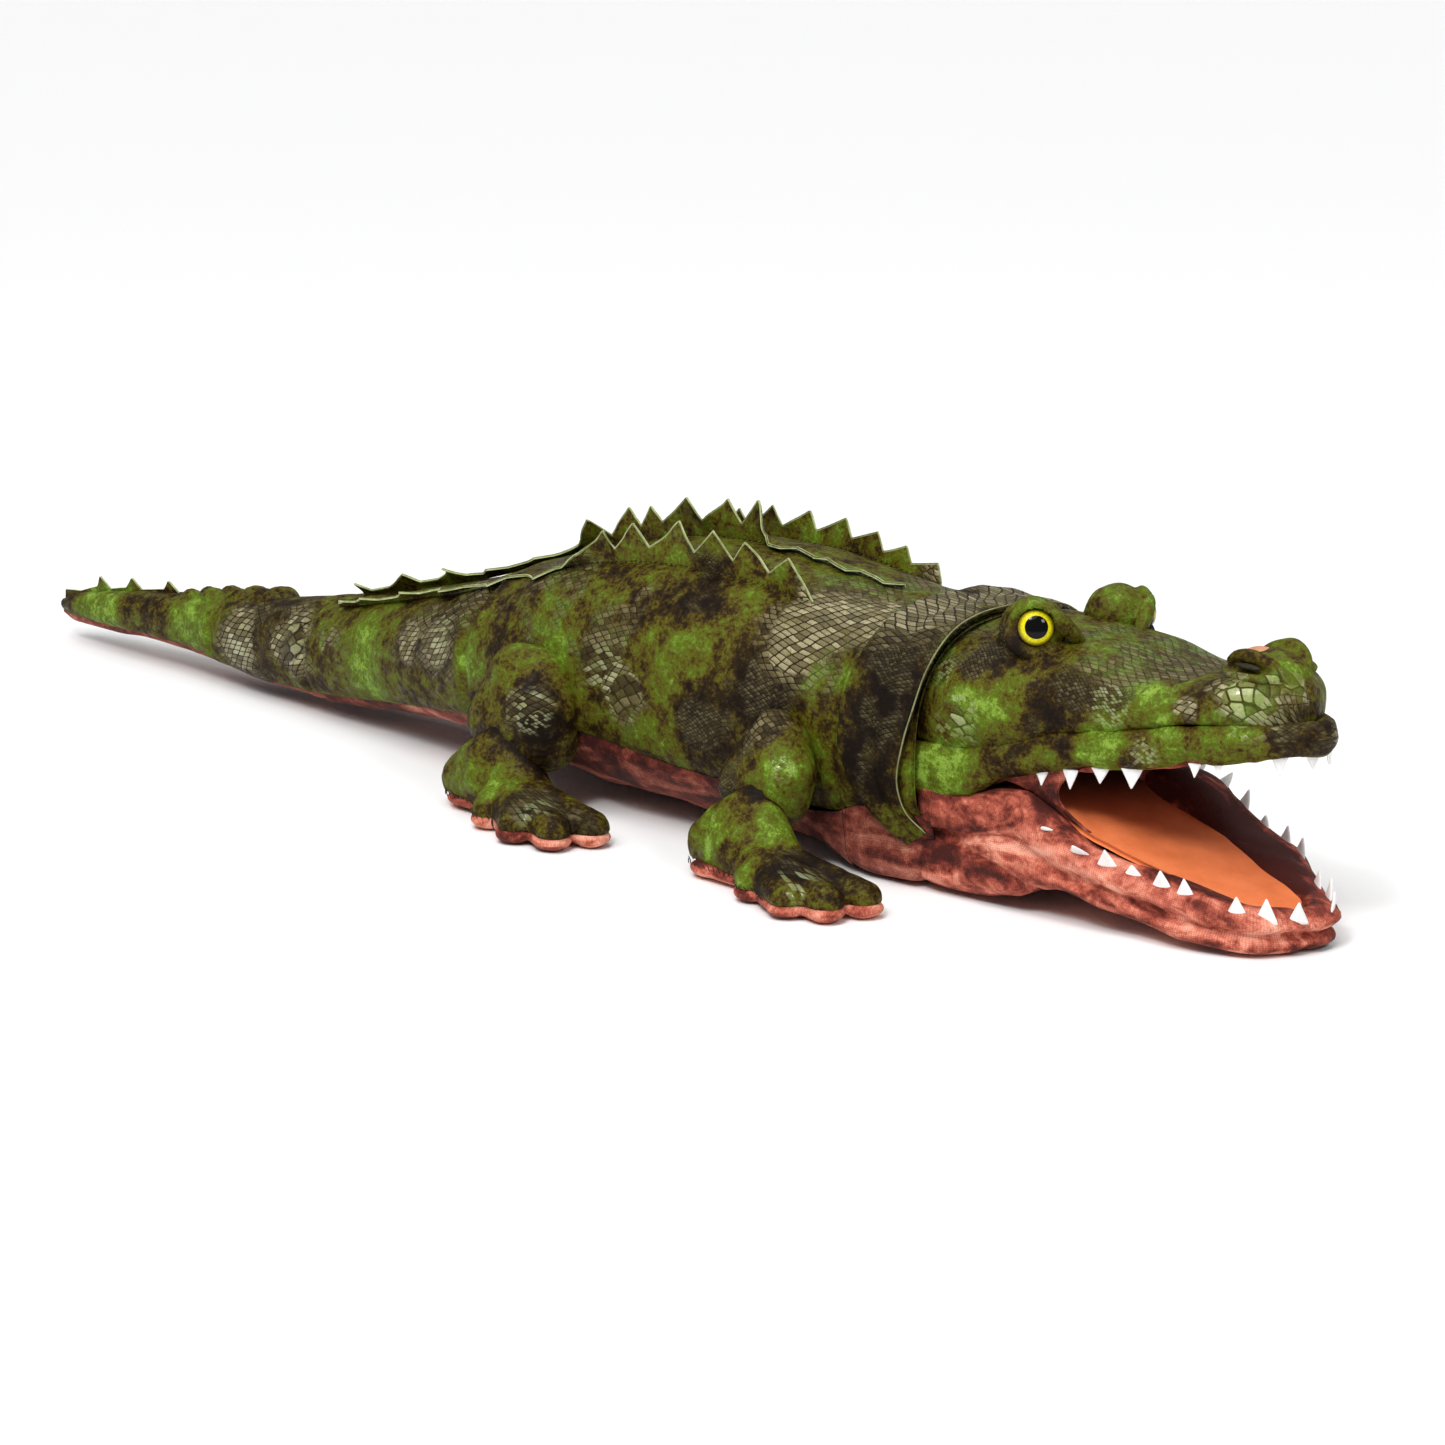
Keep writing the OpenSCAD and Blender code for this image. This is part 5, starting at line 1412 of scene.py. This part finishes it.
for side in (-1, 1):
    for x, y, turn, tall, wide in UPPER_TEETH:
        cz, hh = LIP(x)[0, :2]
        parts.append(tooth((x, -side * y, cz - hh + 0.2), -side * turn, 0, tall, True, wide))
for x, y, turn, tall, wide in FRONT_TEETH:
    cz, hh = LIP(x)[0, :2]
    parts.append(tooth((x, y, cz - hh + 0.8), turn, 0, tall, True, wide))
make("upper_teeth", joined(parts), "felt", "head", nodes=("upper_teeth",), weld=0)
parts = []
for side in (-1, 1):
    roll = ROLL_NEAR if side < 0 else ROLL_FAR
    for x, y, turn, tall, lean in LOWER_TEETH:
        drawn_in = left_share(x) if side > 0 else 1.0
        foot = (x, -side * y * drawn_in, float(roll(x)[0, 0]) - 5.4)
        parts.append(tooth(foot, -side * turn, side * lean, tall + 1.5, False))
make("lower_teeth", joined(parts), "felt", "lower_jaw", nodes=("lower_teeth",), weld=0)


# ---------------------------------------------------------------- legs
THIGH = {
    "hind": [(20, -92, 80, 18), (47, -96, 62, 22), (46, -96, 46, 21), (8, -95, 50, 20), (36, -88, 74, 22)],
    "front": [(225, -89, 78, 15), (237, -94, 58, 20), (233, -95, 46, 20), (214, -94, 48, 19), (229, -87, 70, 18)],
}
SHANK = {
    "hind": [(-2, -110, 17, 17), (20, -112, 34, 16), (22, -113, 18, 20), (48, -113, 16, 17), (30, -108, 44, 12)],
    "front": [(206, -113, 17, 17), (224, -112, 34, 16), (236, -118, 18, 20), (262, -121, 14, 15), (232, -108, 44, 12)],
}
ANKLE = {"hind": [(40, -116, 16, 15), (60, -118, 13, 13)], "front": [(242, -120, 16, 15), (262, -124, 13, 13)]}
TOES = {
    "hind": [(46, -139, 11), (80, -150, 11), (108, -147, 10.5), (118, -126, 10.5)],
    "front": [(262, -141, 11), (297, -152, 11), (319, -144, 10), (327, -123, 10)],
}
HEEL = {"hind": (2, -113, 14), "front": (212, -120, 14)}

for which in ("front", "hind"):
    for label, side in SIDES:
        flip = np.array([1, -side, 1.0])
        name = which + "_" + label

        def balls(rows, n=9):
            return hull(np.concatenate([ball((x, y, z), (r, r, r), n)[0] for x, y, z, r in rows]))

        def mirrored(shape):
            verts, faces = shape
            if side > 0:
                faces = [tuple(f[::-1]) for f in faces]
            return verts * flip, faces

        verts, faces = sculpted("thigh_" + name, [balls(THIGH[which])], 2.0, 6)
        tree = KDTree(len(verts))
        for k, v in enumerate(verts):
            tree.insert(v, k)
        tree.balance()
        fold = verts[:, 0] - (np.mean([q[0] for q in THIGH[which]]) + 14 + 0.22 * (verts[:, 2] - 60))
        rise = 1.3 * noise(verts, 22, 3 + side) + 0.6 * noise(verts, 10, 4 + side)
        rise -= 1.6 * bell(fold, 2.2) * step(-100, -106, verts[:, 1])
        verts = raised(verts, faces, rise)
        hub = np.mean([q[:3] for q in THIGH[which]], axis=0)
        cloth = wrapped(verts, hub, (0, -1, 0.2), (0, 0, 1), 30) + (hub[0], 60)
        make(
            "thigh_" + name, mirrored((verts, faces)), "print", name + "_thigh", cloth,
            ("thigh_" + name,),
        )

        parts = [balls(SHANK[which])]
        for x, y, r in TOES[which]:
            rows = ANKLE[which]
            parts.append(balls(rows + [(x, y, 10.5, r), ((x + rows[1][0]) / 2, (y + rows[1][1]) / 2, 13, 10)]))
        verts, faces = sculpted("foot_" + name, parts, 1.6, 4)
        ankle = np.linalg.norm((verts - (ANKLE[which][0][0], -116, 30)) * (1, 1, 1.1), axis=1)
        rise = 0.8 * noise(verts, 15, 5 + side) + 0.45 * noise(verts, 7, 6 + side)
        rise += 0.55 * np.sin(ankle / 1.9) * bell(ankle - 26, 8.0) * step(10, 16, verts[:, 2])
        verts = raised(verts, faces, rise)
        verts[:, 2] = np.where(verts[:, 2] < 9.5, 9.5 + (verts[:, 2] - 9.5) * 0.3, verts[:, 2])
        cloth = wrapped(verts, np.array([ANKLE[which][0][0], -116, 8]), (0.1, -0.5, 0.8), (0, 0.8, 0.5), 34)
        cloth = cloth + (hub[0] + 80, 0)
        near = np.array([tree.find(v)[2] for v in verts])
        make(
            "foot_" + name, mirrored((verts, faces)), "print", name + "_foot", cloth,
            ("foot_" + name,), shadow=1.1 * bell(near, 3.5),
        )

        hx, hy, hr = HEEL[which]
        heel = [(hx, hy, hr + 1), (hx + 40, hy - 2, 15)]
        parts = [hull(np.concatenate([ball((x, y, 5.6), (r, r, 5.4), 10)[0] for x, y, r in heel]))]
        for x, y, r in TOES[which]:
            rows = [heel[1], ((x + heel[1][0]) / 2, (y + heel[1][1]) / 2, 13), (x, y, r + 0.6)]
            parts.append(hull(np.concatenate([ball((q[0], q[1], 5.6), (q[2], q[2], 5.4), 10)[0] for q in rows])))
        verts, faces = sculpted("sole_" + name, parts, 1.4, 3)
        verts = raised(verts, faces, 0.6 * noise(verts, 9, 2))
        verts[:, 2] = np.maximum(verts[:, 2], 0.2)
        make(
            "sole_" + name, mirrored((verts, faces)), "salmon", name + "_foot", verts[:, :2],
            ("sole_" + name,),
        )

        angle = np.linspace(0.15 * math.pi, 1.15 * math.pi, 60) + math.pi * 0.5
        middle = np.array([np.mean([q[0] for q in TOES[which]]) - 30, -128.0])
        ray = grid(np.cos(angle), np.sin(angle))
        rim_points = []
        for r in ray:
            reach = (verts[:, :2] - middle) @ r
            across = np.abs((verts[:, :2] - middle) @ (-r[1], r[0]))
            reach = np.where(across < 2.5, reach, -1)
            rim_points.append((*(middle + r * (reach.max() - 0.4)), 9.6))
        ways = np.column_stack([ray * 0.5 * flip[:2], 0.9 + 0 * angle])
        line = np.array(rim_points) * flip
        stitches("sole_stitches_" + name, line, 4.0, 3.4, 0.32, ways, name + "_foot")


# ---------------------------------------------------------------- what stays as the CAD made it
for name, material in (
    ("finger_pocket", "lining"), ("thumb_pocket", "lining"), ("eye_washer_left", "washer"),
    ("eye_washer_right", "washer"),
):
    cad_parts[name].data.materials.clear()
    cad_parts[name].data.materials.append(M[material])


# ---------------------------------------------------------------- floor, light and camera
floor = bpy.data.meshes.new("floor")
floor.from_pydata([(-9, -9, 0), (9, -9, 0), (9, 9, 0), (-9, 9, 0)], [], [(0, 1, 2, 3)])
floor.materials.append(M["floor"])
floor = bpy.data.objects.new("floor", floor)
bpy.context.collection.objects.link(floor)

world = bpy.data.worlds.new("studio")
bpy.context.scene.world = world
world.use_nodes = True
world.node_tree.nodes["Background"].inputs[0].default_value = (1, 1, 1, 1)
world.node_tree.nodes["Background"].inputs[1].default_value = 0.24
for name, kind, where, size, power_of in (
    ("day", "SUN", (0.4, -1.2, 2.4), 0.9, 2.15), ("back_day", "SUN", (-0.6, 1.3, 2.6), 1.1, 0.8),
    ("key", "AREA", (0.9, -1.6, 1.9), 0.45, 20), ("rim", "AREA", (1.9, -0.4, 1.2), 0.35, 8),
):
    light = bpy.data.lights.new(name, kind)
    if kind == "SUN":
        light.angle = size
    else:
        light.size = size
    light.energy = power_of
    lamp = bpy.data.objects.new(name, light)
    lamp.location = where
    lamp.rotation_euler = (Vector((0.15, 0, 0.08)) - Vector(where)).to_track_quat("-Z", "Y").to_euler()
    bpy.context.collection.objects.link(lamp)

camera = bpy.data.objects.new("camera", bpy.data.cameras.new("camera"))
camera.data.sensor_width = 36
camera.data.lens = 4500 / 1445 * 36
camera.location = (1.912, -1.815, 0.664)
camera.rotation_euler = (Vector((0.193, -0.0965, 0.08)) - camera.location).to_track_quat("-Z", "Y").to_euler()
bpy.context.collection.objects.link(camera)
bpy.context.scene.camera = camera
bpy.context.scene.view_settings.view_transform = "Standard"
